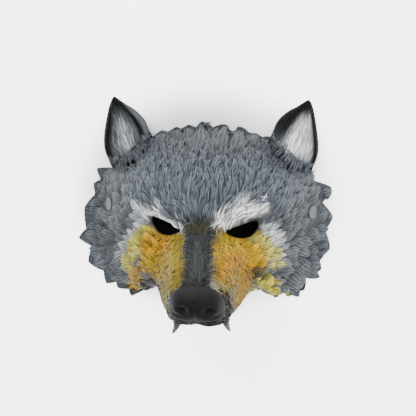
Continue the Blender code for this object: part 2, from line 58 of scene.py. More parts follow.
HALF_WIDTH = FACE_WIDTH / 2
FOAM_WALL = 0.0042
RIM_WALL = 0.0030
LIP_WALL = 0.0022
TUFT_LENGTH = 0.020
SEAT_GAP = 0.0003

# The mask's centreline is not the middle of its box: the studs stand evenly on both sides
stud_boxes = [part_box(f"strap_stud_{side}") for side in ("left", "right")]
CENTRELINE = float(np.mean([corner[0] for pair in stud_boxes for corner in pair]))
TO_ROW = np.array([CENTRELINE, -0.0001, 0.0])
SIDES = {"left": -1, "right": 1}

Arch = namedtuple(
    "Arch",
    "crest_y crest_z flank_x flank_y flank_z fullness lip_x lip_y lip_z hem_x hem_y hem_z",
)
ARCHES = (
    Arch(-0.37, 0.975, 0.00, -0.43, 0.975, 2.0, 0.00, -0.53, 0.88, 0.00, -0.50, 0.82),
    Arch(-0.35, 0.965, 0.11, -0.43, 0.95, 2.4, 0.10, -0.535, 0.87, 0.09, -0.50, 0.80),
    Arch(-0.31, 0.92, 0.20, -0.41, 0.88, 2.4, 0.18, -0.53, 0.83, 0.15, -0.49, 0.77),
    Arch(-0.24, 0.84, 0.25, -0.37, 0.77, 2.4, 0.24, -0.51, 0.75, 0.19, -0.47, 0.69),
    Arch(-0.14, 0.71, 0.29, -0.31, 0.61, 2.3, 0.31, -0.48, 0.61, 0.25, -0.44, 0.56),
    Arch(-0.03, 0.59, 0.37, -0.22, 0.49, 2.0, 0.385, -0.445, 0.435, 0.325, -0.415, 0.37),
    Arch(0.085, 0.57, 0.62, -0.145, 0.34, 2.2, 0.48, -0.47, 0.285, 0.39, -0.465, 0.18),
    Arch(0.275, 0.42, 0.84, -0.16, 0.135, 2.2, 0.575, -0.525, 0.15, 0.445, -0.505, 0.08),
    Arch(0.445, 0.02, 1.00, -0.15, 0.02, 2.2, 0.665, -0.555, 0.02, 0.43, -0.535, 0.02),
)
ARCH_KNOTS = (-0.45, -0.22, 0.0, 0.22, 0.45, 0.82, 1.0)
RIM_FLANK_Y = ARCHES[-1].flank_y * FACE_HEIGHT

Swell = namedtuple("Swell", "x y radius_x radius_y height")
SWELLS = (
    Swell(0.30, 0.03, 0.17, 0.045, 0.034),  # brow ridge
    Swell(0.47, 0.07, 0.12, 0.06, 0.020),  # brow tip
    Swell(0.33, -0.10, 0.16, 0.06, -0.028),  # eye socket
    Swell(0.50, -0.24, 0.16, 0.10, 0.022),  # cheek
    Swell(0.70, 0.10, 0.14, 0.12, -0.014),  # temple
)
SWELLS_FULL = 0.20

# Tufts of the rim: tip and notch along half the rim, with how far each reaches in mm
Tuft = namedtuple("Tuft", "tip reach root root_reach")
TUFTS = {
    "left": (
        Tuft(0.024, 6.0, 0.042, -1.6), Tuft(0.053, 3.8, 0.070, -0.6),
        Tuft(0.082, 3.0, 0.103, -0.4), Tuft(0.118, 1.4, 0.143, 0.0),
        Tuft(0.305, 13.2, 0.328, 4.0), Tuft(0.344, 9.8, 0.372, 4.8),
        Tuft(0.416, 13.0, 0.480, 10.6), Tuft(0.510, 19.6, 0.544, 7.8),
        Tuft(0.602, 17.6, 0.660, 8.4), Tuft(0.722, 15.8, 0.741, 7.2),
        Tuft(0.776, 12.2, 0.826, 8.2), Tuft(0.885, 17.6, 0.945, 2.0),
    ),
    "right": (
        Tuft(0.023, 4.0, 0.043, -4.0), Tuft(0.060, 3.4, 0.084, -1.2),
        Tuft(0.098, 0.6, 0.116, -1.6), Tuft(0.284, 0.6, 0.298, -3.2),
        Tuft(0.332, 10.8, 0.366, -2.8), Tuft(0.411, 5.4, 0.453, -3.0),
        Tuft(0.513, 4.2, 0.566, -2.6), Tuft(0.606, 4.0, 0.668, -4.0),
        Tuft(0.736, 6.2, 0.863, -1.4), Tuft(0.933, 11.0, 0.970, 2.0),
    ),
}
EAR_SEATS = {"left": (0.143, 0.284), "right": (0.132, 0.272)}
EAR_LEAN = {"left": 0.025, "right": 0.0}
EAR_SEAT_DIP = 0.012
TIP_ROUNDING = 0.30

EYE_WIDTH = 0.0305
EYE_HEIGHT = 0.0190
EYE_CENTRE = (0.310, -0.070)
EYE_LOWEST = 0.04
EYE_OUTLINE = (
    (-0.50, -0.02), (-0.20, 0.20), (0.15, 0.42), (0.40, 0.50),
    (0.50, 0.20), (0.40, -0.30), (0.10, -0.50), (-0.25, -0.34),
)

EarPoint = namedtuple("EarPoint", "x y z")
EAR_HEIGHT = 0.056
EAR_CUP = 0.012
EAR_WALL = 0.0050
EAR_EDGE = 0.0026
EAR_CUP_END = 0.35
EAR_ROLL = 0.0024
EAR_INNER_EDGE = (EarPoint(0.530, 0.55, 0.115), EarPoint(0.640, 0.80, 0.150))
EAR_OUTER_EDGE = (EarPoint(0.870, 0.10, 0.105), EarPoint(0.840, 0.58, 0.150))
EAR_TIP = EarPoint(0.800, 1.00, 0.160)

NOSE_OUT = 0.25
NOSE_ALONG = 0.61
NOSE_THICKNESS = 0.0045
NOSE_EDGE = 0.0012
NOSTRIL_DEPTH = 0.0040
COMMA_DEPTH = 0.0012
WING_HEIGHT = 0.0008
GROOVE_HALF_WIDTH = 0.0011
GROOVE_DEPTH = 0.0014
GROOVE_FADE = (-0.068, -0.075)
BRIDGE_PAINTED_LIGHT_FADE = (-0.066, -0.055)

FANG_SEATS = {"left": (0.205, 0.85), "right": (0.320, 0.85)}
FANG_LENGTH = 0.0115
FANG_RADIUS = 0.0040
FANG_BEND = 0.0035
FANG_TIP_SHARE = 0.94
TOOTH_ROW_SPAN = (0.38, 0.62)
TOOTH_ROW_ALONG = (0.84, 0.92)
TOOTH_HEIGHT = 0.0074
TEETH_IN_A_ROW = 5
TOOTH_STEPS = 12
GUM_HEIGHT = 0.0016
TOOTH_TONE_HEIGHT = 0.006
ROOT_LIFT = 0.0005
STUD_SEAT = (0.912, 0.368)
STUD_RADIUS = 0.0066
# heights of the stud over the face, down to the foot of its back washer
STUD_TOP, STUD_HEAD, WASHER_TOP, WASHER_FOOT = 0.0007, -0.0011, -0.0037, -0.0051
STUD_ROUND = 0.0005
STEM_RADIUS = 0.0020
WASHER_RADIUS = 0.0050


# ---------------------------------------------------------------- shapes of the face

def smooth_through(knots, points, where):
    """A natural cubic through the points, which stand at the knots, read at each of where."""
    knots = np.asarray(knots, float)
    points = np.asarray(points, float)
    where = np.atleast_1d(np.asarray(where, float))
    steps = np.diff(knots)
    size = len(knots)
    system = np.zeros((size, size))
    bends = np.zeros(points.shape)
    system[0, 0] = system[-1, -1] = 1
    for i in range(1, size - 1):
        system[i, i - 1 : i + 2] = steps[i - 1], 2 * (steps[i - 1] + steps[i]), steps[i]
        after = (points[i + 1] - points[i]) / steps[i]
        before = (points[i] - points[i - 1]) / steps[i - 1]
        bends[i] = 6 * (after - before)
    curvature = np.linalg.solve(system, bends.reshape(size, -1)).reshape(points.shape)
    spot = np.clip(np.searchsorted(knots, where, side="right") - 1, 0, size - 2)
    shape = (-1,) + (1,) * (points.ndim - 1)
    step = steps[spot].reshape(shape)
    a = ((knots[spot + 1] - where) / steps[spot]).reshape(shape)
    b = ((where - knots[spot]) / steps[spot]).reshape(shape)
    bent = (a**3 - a) * curvature[spot] + (b**3 - b) * curvature[spot + 1]
    return a * points[spot] + b * points[spot + 1] + bent * step**2 / 6


def arch_line(arch, along):
    """Points of half an arch, from its crest (0) to its hem (1)."""
    crest = np.array([0.0, arch.crest_y * FACE_HEIGHT, arch.crest_z * MUZZLE_REACH])
    flank, lip, hem = (
        np.array([x * HALF_WIDTH, y * FACE_HEIGHT, z * MUZZLE_REACH])
        for x, y, z in (
            (arch.flank_x, arch.flank_y, arch.flank_z),
            (arch.lip_x, arch.lip_y, arch.lip_z),
            (arch.hem_x, arch.hem_y, arch.hem_z),
        )
    )
    shoulder_share = 0.5 ** (1 / arch.fullness)
    shoulder = crest + (flank - crest) * (1 - shoulder_share)
    shoulder[0] = flank[0] * shoulder_share
    mirror = np.array([-1.0, 1.0, 1.0])
    points = (flank * mirror, shoulder * mirror, crest, shoulder, flank, lip, hem)
    return smooth_through(ARCH_KNOTS, points, along)


def unit(vectors):
    """The same directions at a length of one."""
    return vectors / np.maximum(np.linalg.norm(vectors, axis=-1, keepdims=True), 1e-12)


def outward_normals(grid):
    """Unit normals of a grid whose rows go outwards and whose columns go left to right."""
    return unit(np.cross(np.gradient(grid, axis=1), np.gradient(grid, axis=0)))


def share_between(ends, values):
    """How far values have come from the first end (0) to the second (1)."""
    return np.clip((values - ends[0]) / (ends[1] - ends[0]), 0, 1)


def eased(values):
    """Shares that start and end gently."""
    values = np.clip(values, 0, 1)
    return values * values * (3 - 2 * values)


def soft_spot(x, y, centre, radii):
    """1 at the centre, and nearly nothing from two radii outwards."""
    return np.exp(-(((x - centre[0]) / radii[0]) ** 2) - ((y - centre[1]) / radii[1]) ** 2)


def swell_height(points):
    """How high the brows and cheeks swell over the arches, and how deep the sockets sink."""
    height = np.zeros(points.shape[:-1])
    for swell in SWELLS:
        spot = soft_spot(np.abs(points[..., 0]) / HALF_WIDTH, points[..., 1] / FACE_HEIGHT,
                         (swell.x, swell.y), (swell.radius_x, swell.radius_y))
        height += swell.height * MUZZLE_REACH * spot
    return height


class Patch:
    """A surface as a fine map from (out, along) to place, outward normal, direction outwards
    and hair coordinates in metres. out runs from 0 to 1 and along from -1 to 1."""

    def __init__(self, skin, normal, hair):
        self.skin, self.normal, self.hair = skin, normal, hair
        self.outwards = unit(np.gradient(skin, axis=0))

    def read(self, grid, out, along):
        """A grid's values at matching arrays of places, by straight interpolation."""
        rows, columns = grid.shape[:2]
        r = np.clip(out, 0, 1) * (rows - 1)
        c = (np.clip(along, -1, 1) + 1) / 2 * (columns - 1)
        r0 = np.clip(np.floor(r).astype(int), 0, rows - 2)
        c0 = np.clip(np.floor(c).astype(int), 0, columns - 2)
        fr = (r - r0)[..., None]
        fc = (c - c0)[..., None]
        near = grid[r0, c0] * (1 - fc) + grid[r0, c0 + 1] * fc
        far = grid[r0 + 1, c0] * (1 - fc) + grid[r0 + 1, c0 + 1] * fc
        return near * (1 - fr) + far * fr

    def read_sheet(self, grid, out, along):
        """A grid's values at every crossing of the rows out and the columns along."""
        return self.read(grid, *np.meshgrid(out, along, indexing="ij"))

    def spot(self, grid, out, along):
        """A grid's value at one place."""
        return self.read(grid, np.array([out]), np.array([along]))[0]


class Face(Patch):
    """The smooth face: out is 0 at the nose end and 1 at the rim, along 0 at the middle."""

    def __init__(self, rows=241, columns=481):
        self.out = np.linspace(0, 1, rows)
        self.along = np.linspace(-1, 1, columns)
        lines = np.array([arch_line(arch, np.abs(self.along)) for arch in ARCHES])
        skin = smooth_through(np.linspace(0, 1, len(ARCHES)), lines, self.out)
        skin[:, :, 0] *= np.where(self.along < 0, -1, 1)
        normal = outward_normals(skin)
        normal[0] = normal[1]
        normal[0, :, 0] = 0
        normal[0] = unit(normal[0])
        swell = swell_height(skin) * share_between((0, SWELLS_FULL), self.out)[:, None]
        self.base_normal = normal
        skin = skin + normal * swell[:, :, None]
        facing = outward_normals(skin)
        facing[:2] = normal[:2]
        across_steps = np.linalg.norm(np.diff(skin, axis=1), axis=2)
        across = np.concatenate([np.zeros((rows, 1)), np.cumsum(across_steps, axis=1)], axis=1)
        across -= across[:, columns // 2][:, None]
        out_steps = np.linalg.norm(np.diff(skin, axis=0), axis=2)
        outward = np.concatenate([np.zeros((1, columns)), np.cumsum(out_steps, axis=0)])
        super().__init__(skin, facing, np.stack([across, outward, 0 * across], axis=2))

def rim_reach(along):
    """How far the rim stands out at each place, in metres: tufts, and the ears' seats."""
    reach = np.zeros(len(along))
    for name, side in SIDES.items():
        seat_start, seat_end = EAR_SEATS[name]
        marks = [(0.0, 0.0, 0)]
        for tuft in TUFTS[name]:
            marks += [(tuft.tip, tuft.reach * MM, 1), (tuft.root, tuft.root_reach * MM, 0)]
        marks += [(seat_start, 0.0, 0), (seat_end, 0.0, 0), (1.0, 0.0, 0)]
        marks.sort()
        here = side * along
        for (start, low, start_tip), (end, high, end_tip) in zip(marks, marks[1:]):
            if end - start < 1e-6:
                continue
            inside = (here >= start) & (here <= end)
            x = (here[inside] - start) / (end - start)
            if start_tip:
                x = 1 - x
                low, high = high, low
            bulge = (1 - TIP_ROUNDING) * x + TIP_ROUNDING * np.sin(np.pi / 2 * x)
            reach[inside] = low + (high - low) * (bulge if start_tip or end_tip else x)
        seat = (here > seat_start) & (here < seat_end)
        turn = (here[seat] - seat_start) / (seat_end - seat_start)
        reach[seat] = -EAR_SEAT_DIP * np.sin(np.pi * turn)
    return reach


def at_ear(along, margin=0.0):
    """Whether places along the rim are at an ear's seat."""
    found = np.zeros(np.shape(along), bool)
    for name, side in SIDES.items():
        start, end = EAR_SEATS[name]
        found |= (side * along > start - margin) & (side * along < end + margin)
    return found


def away_from_face(rim):
    """Level directions from the middle of the face to each point of the rim."""
    away = rim - np.array([0, RIM_FLANK_Y, 0])
    away[:, 2] = 0
    return unit(away)


def ripple(points, size, seed):
    """Smooth noise of about -1 to 1 whose waves are about that size across."""
    dice = np.random.default_rng(seed)
    total = np.zeros(points.shape[:-1])
    for _ in range(7):
        direction = unit(dice.normal(size=points.shape[-1]))
        wave = 2 * np.pi / (size * dice.uniform(0.7, 1.6))
        total += np.sin(points @ direction * wave + dice.uniform(0, 6.28))
    return total / 3.2


# ---------------------------------------------------------------- meshes

def put_in_scene(name, data):
    """A new object of the scene that shows a mesh, a light or a camera."""
    shown = bpy.data.objects.new(name, data)
    bpy.context.scene.collection.objects.link(shown)
    return shown


def add_mesh(name, vertices, faces, *paints):
    """A smooth shaded mesh object with its materials."""
    mesh = bpy.data.meshes.new(name)
    mesh.from_pydata([tuple(v) for v in vertices], [], [list(f) for f in faces])
    mesh.shade_smooth()
    for paint in paints:
        mesh.materials.append(paint)
    return put_in_scene(name, mesh)


def weld(mesh):
    """Merges doubles and turns the faces outwards."""
    bm = bmesh.new()
    bm.from_mesh(mesh)
    bmesh.ops.remove_doubles(bm, verts=bm.verts, dist=1e-6)
    bmesh.ops.recalc_face_normals(bm, faces=bm.faces)
    bm.to_mesh(mesh)
    bm.free()


def points_of(mesh):
    """A mesh's vertices as an array."""
    flat = np.empty(len(mesh.vertices) * 3, np.float32)
    mesh.vertices.foreach_get("co", flat)
    return flat.reshape(-1, 3).astype(float)


def write_attribute(mesh, name, values, kind):
    """Stores one value for each vertex: FLOAT, FLOAT_VECTOR or FLOAT_COLOR."""
    layer = mesh.attributes.get(name) or mesh.attributes.new(name, kind, "POINT")
    values = np.asarray(values, np.float32)
    if kind == "FLOAT_COLOR":
        values = np.concatenate([values, np.ones((len(values), 1), np.float32)], axis=1)
    key = {"FLOAT": "value", "FLOAT_VECTOR": "vector", "FLOAT_COLOR": "color"}[kind]
    layer.data.foreach_set(key, values.ravel())


def read_attribute(mesh, name, width=1):
    """An attribute's numbers, one for each vertex, or one row of three."""
    flat = np.empty(len(mesh.vertices) * width, np.float32)
    mesh.attributes[name].data.foreach_get("value" if width == 1 else "vector", flat)
    return flat.reshape(-1, width).astype(float) if width > 1 else flat.astype(float)


def sheet_faces(rows, columns, halves_meet=False, holes=None):
    """Faces of the closed solid between two grids of rows by columns. Where halves_meet, the
    first row is a slit whose two halves coincide. holes marks the squares that are left out,
    and their edges get walls."""
    column = np.tile(np.arange(columns), (rows, 1))
    number = np.arange(rows)[:, None] * columns + column
    if halves_meet:
        half = columns // 2
        number[0, half + 1 :] = number[0, :half][::-1]
    under = number + rows * columns
    kept = np.ones((rows - 1, columns - 1), bool) if holes is None else ~holes
    ring = np.stack([number[:-1, :-1], number[:-1, 1:], number[1:, 1:], number[1:, :-1]], -1)
    top = ring[kept]
    bottom = (ring + rows * columns)[kept][:, ::-1]
    walls = []
    padded = np.zeros((rows + 1, columns + 1), bool)
    padded[1:-1, 1:-1] = kept
    for r, c in np.argwhere(padded[1:, 1:] != padded[:-1, 1:]):
        if c < columns - 1 and not (halves_meet and r == 0):
            walls.append((number[r, c], number[r, c + 1], under[r, c + 1], under[r, c]))
    for r, c in np.argwhere(padded[1:, 1:] != padded[1:, :-1]):
        if r < rows - 1:
            walls.append((number[r, c], number[r + 1, c], under[r + 1, c], under[r, c]))
    return [list(dict.fromkeys(f)) for f in (*top, *bottom, *walls) if len(set(f)) > 2]


def add_sheet(name, top, under, *paints, halves_meet=False, holes=None):
    """A closed sheet between two grids of points of the mask's own frame."""
    points = np.concatenate([top.reshape(-1, 3), under.reshape(-1, 3)]) + TO_ROW
    faces = sheet_faces(*top.shape[:2], halves_meet, holes)
    return add_mesh(name, points, faces, *paints)


# ---------------------------------------------------------------- materials

def linear(code):
    """Linear colour of an sRGB hex value."""
    shares = [int(code[i : i + 2], 16) / 255 for i in (1, 3, 5)]
    return np.array([s / 12.92 if s <= 0.04045 else ((s + 0.055) / 1.055) ** 2.4 for s in shares])


def add_node(tree, kind, inputs=None, **settings):
    """Adds a node with its settings. inputs maps a socket's name or number to a value, or to
    the socket or node that feeds it."""
    made = tree.nodes.new(kind)
    for key, value in settings.items():
        setattr(made, key, value)
    for key, value in (inputs or {}).items():
        if isinstance(value, bpy.types.Node):
            value = next(s for s in value.outputs if s.enabled)
        if isinstance(value, bpy.types.NodeSocket):
            tree.links.new(value, made.inputs[key])
        else:
            made.inputs[key].default_value = value
    return made


def new_material(name, **sockets):
    """A material with a Principled shader whose plain values are set on its own sockets."""
    material = bpy.data.materials.new(name)
    material.use_nodes = True
    shader = material.node_tree.nodes["Principled BSDF"]
    for key, value in sockets.items():
        shader.inputs[key.replace("_", " ")].default_value = value
    return material, material.node_tree, shader


def mottle_spray(tree, shader, grain, detail, faint, strong):
    """Lays the sprayed colour on, mottled by clouds as large as the grain, in metres, from a
    faint to a strong coat. Returns the clouds and the place they are read at."""
    spray = add_node(tree, "ShaderNodeAttribute", attribute_name="spray")
    place = add_node(tree, "ShaderNodeTexCoord").outputs["Object"]
    cloud = add_node(tree, "ShaderNodeTexNoise",
                     {"Vector": place, "Scale": 1 / grain, "Detail": detail}).outputs["Fac"]
    vary = add_node(tree, "ShaderNodeMapRange", {"Value": cloud, "From Min": 0.3,
                                                 "From Max": 0.7, "To Min": faint,
                                                 "To Max": strong})
    colour = add_node(tree, "ShaderNodeVectorMath",
                      {0: spray.outputs["Color"], "Scale": vary}, operation="SCALE")
    tree.links.new(colour.outputs[0], shader.inputs["Base Color"])
    return cloud, place


def mottle_dye(tree, shader, grain, detail, ends, dark, light):
    """Lays a dark and a light colour on in clouds as large as the grain, in metres."""
    place = add_node(tree, "ShaderNodeTexCoord").outputs["Object"]
    cloud = add_node(tree, "ShaderNodeTexNoise",
                     {"Vector": place, "Scale": 1 / grain, "Detail": detail}).outputs["Fac"]
    ramp = add_node(tree, "ShaderNodeValToRGB", {"Fac": cloud})
    for stop, position, code in zip(ramp.color_ramp.elements, ends, (dark, light)):
        stop.position = position
        stop.color = (*linear(code), 1)
    tree.links.new(ramp.outputs["Color"], shader.inputs["Base Color"])
    return cloud, place


STRAND_WIDTH = 0.0018
STRAND_LENGTH = 0.016
SWAY = 0.0045
SWAY_SPACING = 0.011
SPRAY_GRAIN = 0.0016


def painted_foam():
    """Self-skinning polyurethane foam, airbrushed by hand: matt, with painted shade in the
    grooves between strands and painted light on their ridges, and a dusting of grain breaks the
    colour."""
    material, tree, shader = new_material(
        "airbrushed_self_skinning_foam", Roughness=0.6, IOR=1.45, Specular_IOR_Level=0.25
    )
    spray = add_node(tree, "ShaderNodeAttribute", attribute_name="spray")
    ridge = add_node(tree, "ShaderNodeAttribute", attribute_name="ridge")
    hair = add_node(tree, "ShaderNodeAttribute", attribute_name="hair").outputs["Vector"]
    # Strands moulded in the foam are 1.8 mm wide and 16 mm long, and sway by about 1 mm
    sway = add_node(tree, "ShaderNodeTexNoise",
                    {"Vector": hair, "Scale": 1 / SWAY_SPACING, "Detail": 1.0})
    swayed = add_node(tree, "ShaderNodeVectorMath",
                      {0: sway.outputs["Color"], "Scale": SWAY}, operation="SCALE")
    bent = add_node(tree, "ShaderNodeVectorMath", {0: hair, 1: swayed}, operation="ADD")
    run = add_node(tree, "ShaderNodeVectorMath",
                   {0: bent, 1: (1 / STRAND_WIDTH, 1 / STRAND_LENGTH, 1)},
                   operation="MULTIPLY")
    soft = add_node(tree, "ShaderNodeTexNoise",
                    {"Vector": run, "Scale": 1.0, "Detail": 2.0, "Distortion": 0.3})
    strand = add_node(tree, "ShaderNodeMapRange",
                      {"Value": soft.outputs["Fac"], "From Min": 0.34, "From Max": 0.66})
    # Spray dries to a grain of about 0.6 mm, drawn 1.6 mm wide so that it shows
    place = add_node(tree, "ShaderNodeTexCoord")
    grain = add_node(tree, "ShaderNodeTexNoise", {
        "Vector": place.outputs["Object"], "Scale": 1 / SPRAY_GRAIN, "Detail": 3.0,
    }).outputs["Fac"]
    # Painted shade and light: the colour darkens in the grooves between strands and locks and
    # lightens on their ridges
    share = add_node(tree, "ShaderNodeMath", {0: strand, 1: 0.40}, operation="MULTIPLY")
    painted_relief_shading = add_node(tree, "ShaderNodeMath", {0: ridge.outputs["Fac"], 1: share})
    tone = add_node(tree, "ShaderNodeMapRange", {"Value": painted_relief_shading, "From Min": 0.15,
                                                 "From Max": 1.35, "To Min": 0.10,
                                                 "To Max": 1.25})
    fleck = add_node(tree, "ShaderNodeMapRange", {"Value": grain, "From Min": 0.3,
                                                  "From Max": 0.7, "To Min": 0.90,
                                                  "To Max": 1.10})
    both = add_node(tree, "ShaderNodeMath", {0: tone, 1: fleck}, operation="MULTIPLY")
    colour = add_node(tree, "ShaderNodeVectorMath",
                      {0: spray.outputs["Color"], "Scale": both}, operation="SCALE")
    tree.links.new(colour.outputs[0], shader.inputs["Base Color"])
    rough = add_node(tree, "ShaderNodeMapRange",
                     {"Value": strand, "To Min": 0.72, "To Max": 0.52})
    tree.links.new(rough.outputs[0], shader.inputs["Roughness"])
    fine = add_node(tree, "ShaderNodeBump",
                    {"Height": grain, "Strength": 0.25, "Distance": 0.0002})
    coarse = add_node(tree, "ShaderNodeBump", {"Height": strand, "Strength": 0.7,
                                               "Distance": 0.0006, "Normal": fine})
    tree.links.new(coarse.outputs["Normal"], shader.inputs["Normal"])
    return material


def bare_foam():
    """The unpainted inside of the foam, dyed through: dull charcoal with its open skin. Its
    pores of about half a millimetre are drawn 1.5 mm wide so that they show."""
    material, tree, shader = new_material("dyed_foam_inside", Roughness=0.85, IOR=1.45)
    pores, _ = mottle_dye(tree, shader, 0.0015, 3.0, (0.3, 0.7), "#141415", "#222223")
    bump = add_node(tree, "ShaderNodeBump",
                    {"Height": pores, "Strength": 0.4, "Distance": 0.0003})
    tree.links.new(bump.outputs["Normal"], shader.inputs["Normal"])
    return material


def leather_paint():
    """Black acrylic over the foam nose: low sheen, moulded with a pebbled skin of 1.3 mm."""
    material, tree, shader = new_material(
        "black_acrylic_on_pebbled_foam", Roughness=0.7, IOR=1.49, Specular_IOR_Level=0.2
    )
    cloud, place = mottle_spray(tree, shader, 0.008, 3.0, 0.75, 1.25)
    pebbles = add_node(tree, "ShaderNodeTexVoronoi", {"Vector": place, "Scale": 1 / 0.0013})
    rough = add_node(tree, "ShaderNodeMapRange",
                     {"Value": cloud, "To Min": 0.60, "To Max": 0.80})
    tree.links.new(rough.outputs[0], shader.inputs["Roughness"])
    bump = add_node(tree, "ShaderNodeBump", {"Height": pebbles.outputs["Distance"],
                                             "Strength": 0.35, "Distance": 0.0003})
    tree.links.new(bump.outputs["Normal"], shader.inputs["Normal"])
    return material


def tooth_paint():
    """Ivory acrylic brushed over the foam teeth, with stains about 2 mm across."""
    material, tree, shader = new_material("ivory_acrylic_on_foam", Roughness=0.38, IOR=1.49)
    stain, _ = mottle_spray(tree, shader, 0.002, 2.0, 0.82, 1.06)
    bump = add_node(tree, "ShaderNodeBump",
                    {"Height": stain, "Strength": 0.2, "Distance": 0.0003})
    tree.links.new(bump.outputs["Normal"], shader.inputs["Normal"])
    return material


def stud_paint():
    """Polypropylene stud, sprayed with the mask: smooth grey in patches of about 3 mm."""
    material, tree, shader = new_material("oversprayed_polypropylene", Roughness=0.5, IOR=1.49)
    mottle_spray(tree, shader, 0.003, 3.0, 0.92, 1.07)
    return material


PAINTED_GLOW_RADII = (0.15, 0.13)


def glowing_floor_paint():
    """Matt white board that glows round the mask: painted light, rising away from it, so that the
    board next to the mask stays dimmer as painted shade.
    """
    material, tree, shader = new_material("matt_white_board_painted_glow", Roughness=0.9)
    _, place = mottle_dye(tree, shader, 1 / 6, 2.0, (0, 1), "#f3f3f3", "#f7f7f7")
    spread = add_node(tree, "ShaderNodeVectorMath",
                      {0: place, 1: (1 / PAINTED_GLOW_RADII[0], 1 / PAINTED_GLOW_RADII[1], 0)},
                      operation="MULTIPLY")
    far = add_node(tree, "ShaderNodeVectorMath", {0: spread}, operation="LENGTH")
    # painted light: the board glows outside an ellipse round the mask
    painted_glow = add_node(tree, "ShaderNodeMapRange",
                    {"Value": far.outputs["Value"], "From Min": 0.60, "From Max": 1.0,
                     "To Min": 0.0, "To Max": 3.6}, interpolation_type="SMOOTHSTEP")
    tree.links.new(painted_glow.outputs[0], shader.inputs["Emission Strength"])
    shader.inputs["Emission Color"].default_value = (1, 1, 1, 1)
    return material


def shade_card_paper():
    """Black flock paper for the card of painted shade, that takes nearly all light. Its fibres
    are drawn 0.8 mm wide, much coarser than they are, so that they show."""
    material, tree, shader = new_material("black_flock_paper_painted_shade", Roughness=1.0)
    mottle_dye(tree, shader, 0.0008, 2.0, (0, 1), "#161616", "#292929")
    return material


FOAM = painted_foam()
INSIDE = bare_foam()
NOSE_PAINT = leather_paint()
IVORY = tooth_paint()
STUD_PAINT = stud_paint()


# ---------------------------------------------------------------- airbrushing

# One pass of the airbrush: a stroke from start to end, seen from the front, in mm from the
# centreline, with a full core as wide as width and an edge that fades over soft
Stroke = namedtuple("Stroke", "colour start end width soft strength")
BASE_GREY = "#60666c"
STROKES = (
    # cooler grey on the forehead, duller on the ruff
    Stroke("#575e68", (-50, 24), (50, 24), 16, 22, 0.6),
    Stroke("#505459", (-98, 26), (-96, -40), 12, 20, 0.5),
    Stroke("#474c52", (-60, 74), (60, 74), 18, 20, 0.8),
    # white brows, strongest over the eyes
    Stroke("#f4f7f9", (-58, 0), (-45, 1), 2, 9, 0.85),
    Stroke("#f4f7f9", (-45, 0), (-26, -12), 2, 8, 0.95),
    Stroke("#ffffff", (18, -4), (38, 8), 1.5, 11, 1.0),
    Stroke("#ffffff", (38, 8), (52, 10), 1.5, 9, 1.0),
    # white between the eyes and the ruff
    Stroke("#dfe4e6", (-58, -10), (-66, -20), 1, 6, 0.7),
    Stroke("#dfe4e6", (-66, -20), (-74, -34), 1, 5, 0.7),
    Stroke("#b9bec0", (-80, -42), (-88, -54), 1, 6, 0.6),
    Stroke("#f4f8fa", (56, -8), (63, -18), 1.5, 6, 0.85),
    Stroke("#e4e8ea", (64, -18), (70, -42), 1, 7, 0.7),
    # yellow round the cheeks
    Stroke("#c4b83e", (-52, -20), (-69, -42), 3.5, 6, 0.9),
    Stroke("#bdb440", (-69, -42), (-78, -64), 3.5, 5, 0.95),
    Stroke("#d0c452", (48, -20), (62, -38), 4, 6, 0.9),
    Stroke("#d2cd6c", (62, -38), (68, -50), 3, 6, 0.85),
    Stroke("#d4c62a", (54, -64), (72, -92), 5.5, 4, 1.0),
    # orange cheeks and muzzle sides
    Stroke("#ac8c00", (-24, -40), (-50, -54), 9, 7, 1.0),
    Stroke("#7d6c00", (-23, -48), (-28, -70), 8, 5, 1.0),
    Stroke("#bc8a00", (-34, -24), (-50, -35), 7, 7, 1.0),
    Stroke("#b08a04", (-66, -69), (-75, -90), 5.5, 4, 1.0),
    Stroke("#cfa200", (22, -22), (44, -44), 9, 7, 1.0),
    Stroke("#bd8600", (24, -38), (36, -58), 8, 6, 1.0),
    Stroke("#9e7c00", (27, -50), (37, -76), 7, 5, 1.0),
    # dull gold where the stripe's grey meets the orange
    Stroke("#a08806", (-24, -20), (-24, -42), 4, 5, 1.0),
    Stroke("#b0940c", (16, -17), (24, -21), 3, 4, 0.9),
    Stroke("#7c6c10", (-19, -18), (-19, -48), 1.5, 5, 0.6),
    Stroke("#7c6c10", (15, -18), (15, -48), 1.5, 5, 0.6),
    # charcoal stripe down the muzzle
    Stroke("#262826", (-2.5, -13), (-1, -56), 9, 7, 1.0),
    Stroke("#404547", (-2, -20), (-1, -42), 2, 6, 0.6),
    Stroke("#45462c", (-15, -8), (19, -9), 1, 5, 0.75),
    # grey whisker pads beside and below the nose
    Stroke("#777c76", (-24, -66), (-25, -84), 3, 4, 0.9),
    Stroke("#777c76", (14, -50), (22, -56), 1.5, 4, 0.6),
    Stroke("#6a6e66", (27, -62), (28, -84), 3, 5, 0.8),
    Stroke("#161715", (-12, -88), (18, -88), 8, 5, 1.0),
    Stroke("#161715", (23, -62), (25, -86), 4.5, 4, 0.95),
    # dark lids over the eyes, and the dark corners of the mouth; the black one at the left is
    # dark paint and also painted shade in the mouth's opening
    Stroke("#1d1e19", (-54, -4.5), (-47, -3), 0.6, 2.2, 0.8),
    Stroke("#1d1e19", (52, -2.5), (43, -1.5), 0.6, 2.2, 0.8),
    Stroke("#2b2f28", (46, -55), (53, -62), 2.5, 5, 0.8),
    Stroke("#494c49", (-52, -62), (-60, -63), 1.5, 3, 0.9),
    Stroke("#0c0d0c", (-46, -72), (-57, -78), 5, 3, 1.0),
)


def coat(base, code, cover):
    """A colour laid over another, as far as it covers."""
    return base + (linear(code) - base) * np.clip(cover, 0, 1)[..., None]


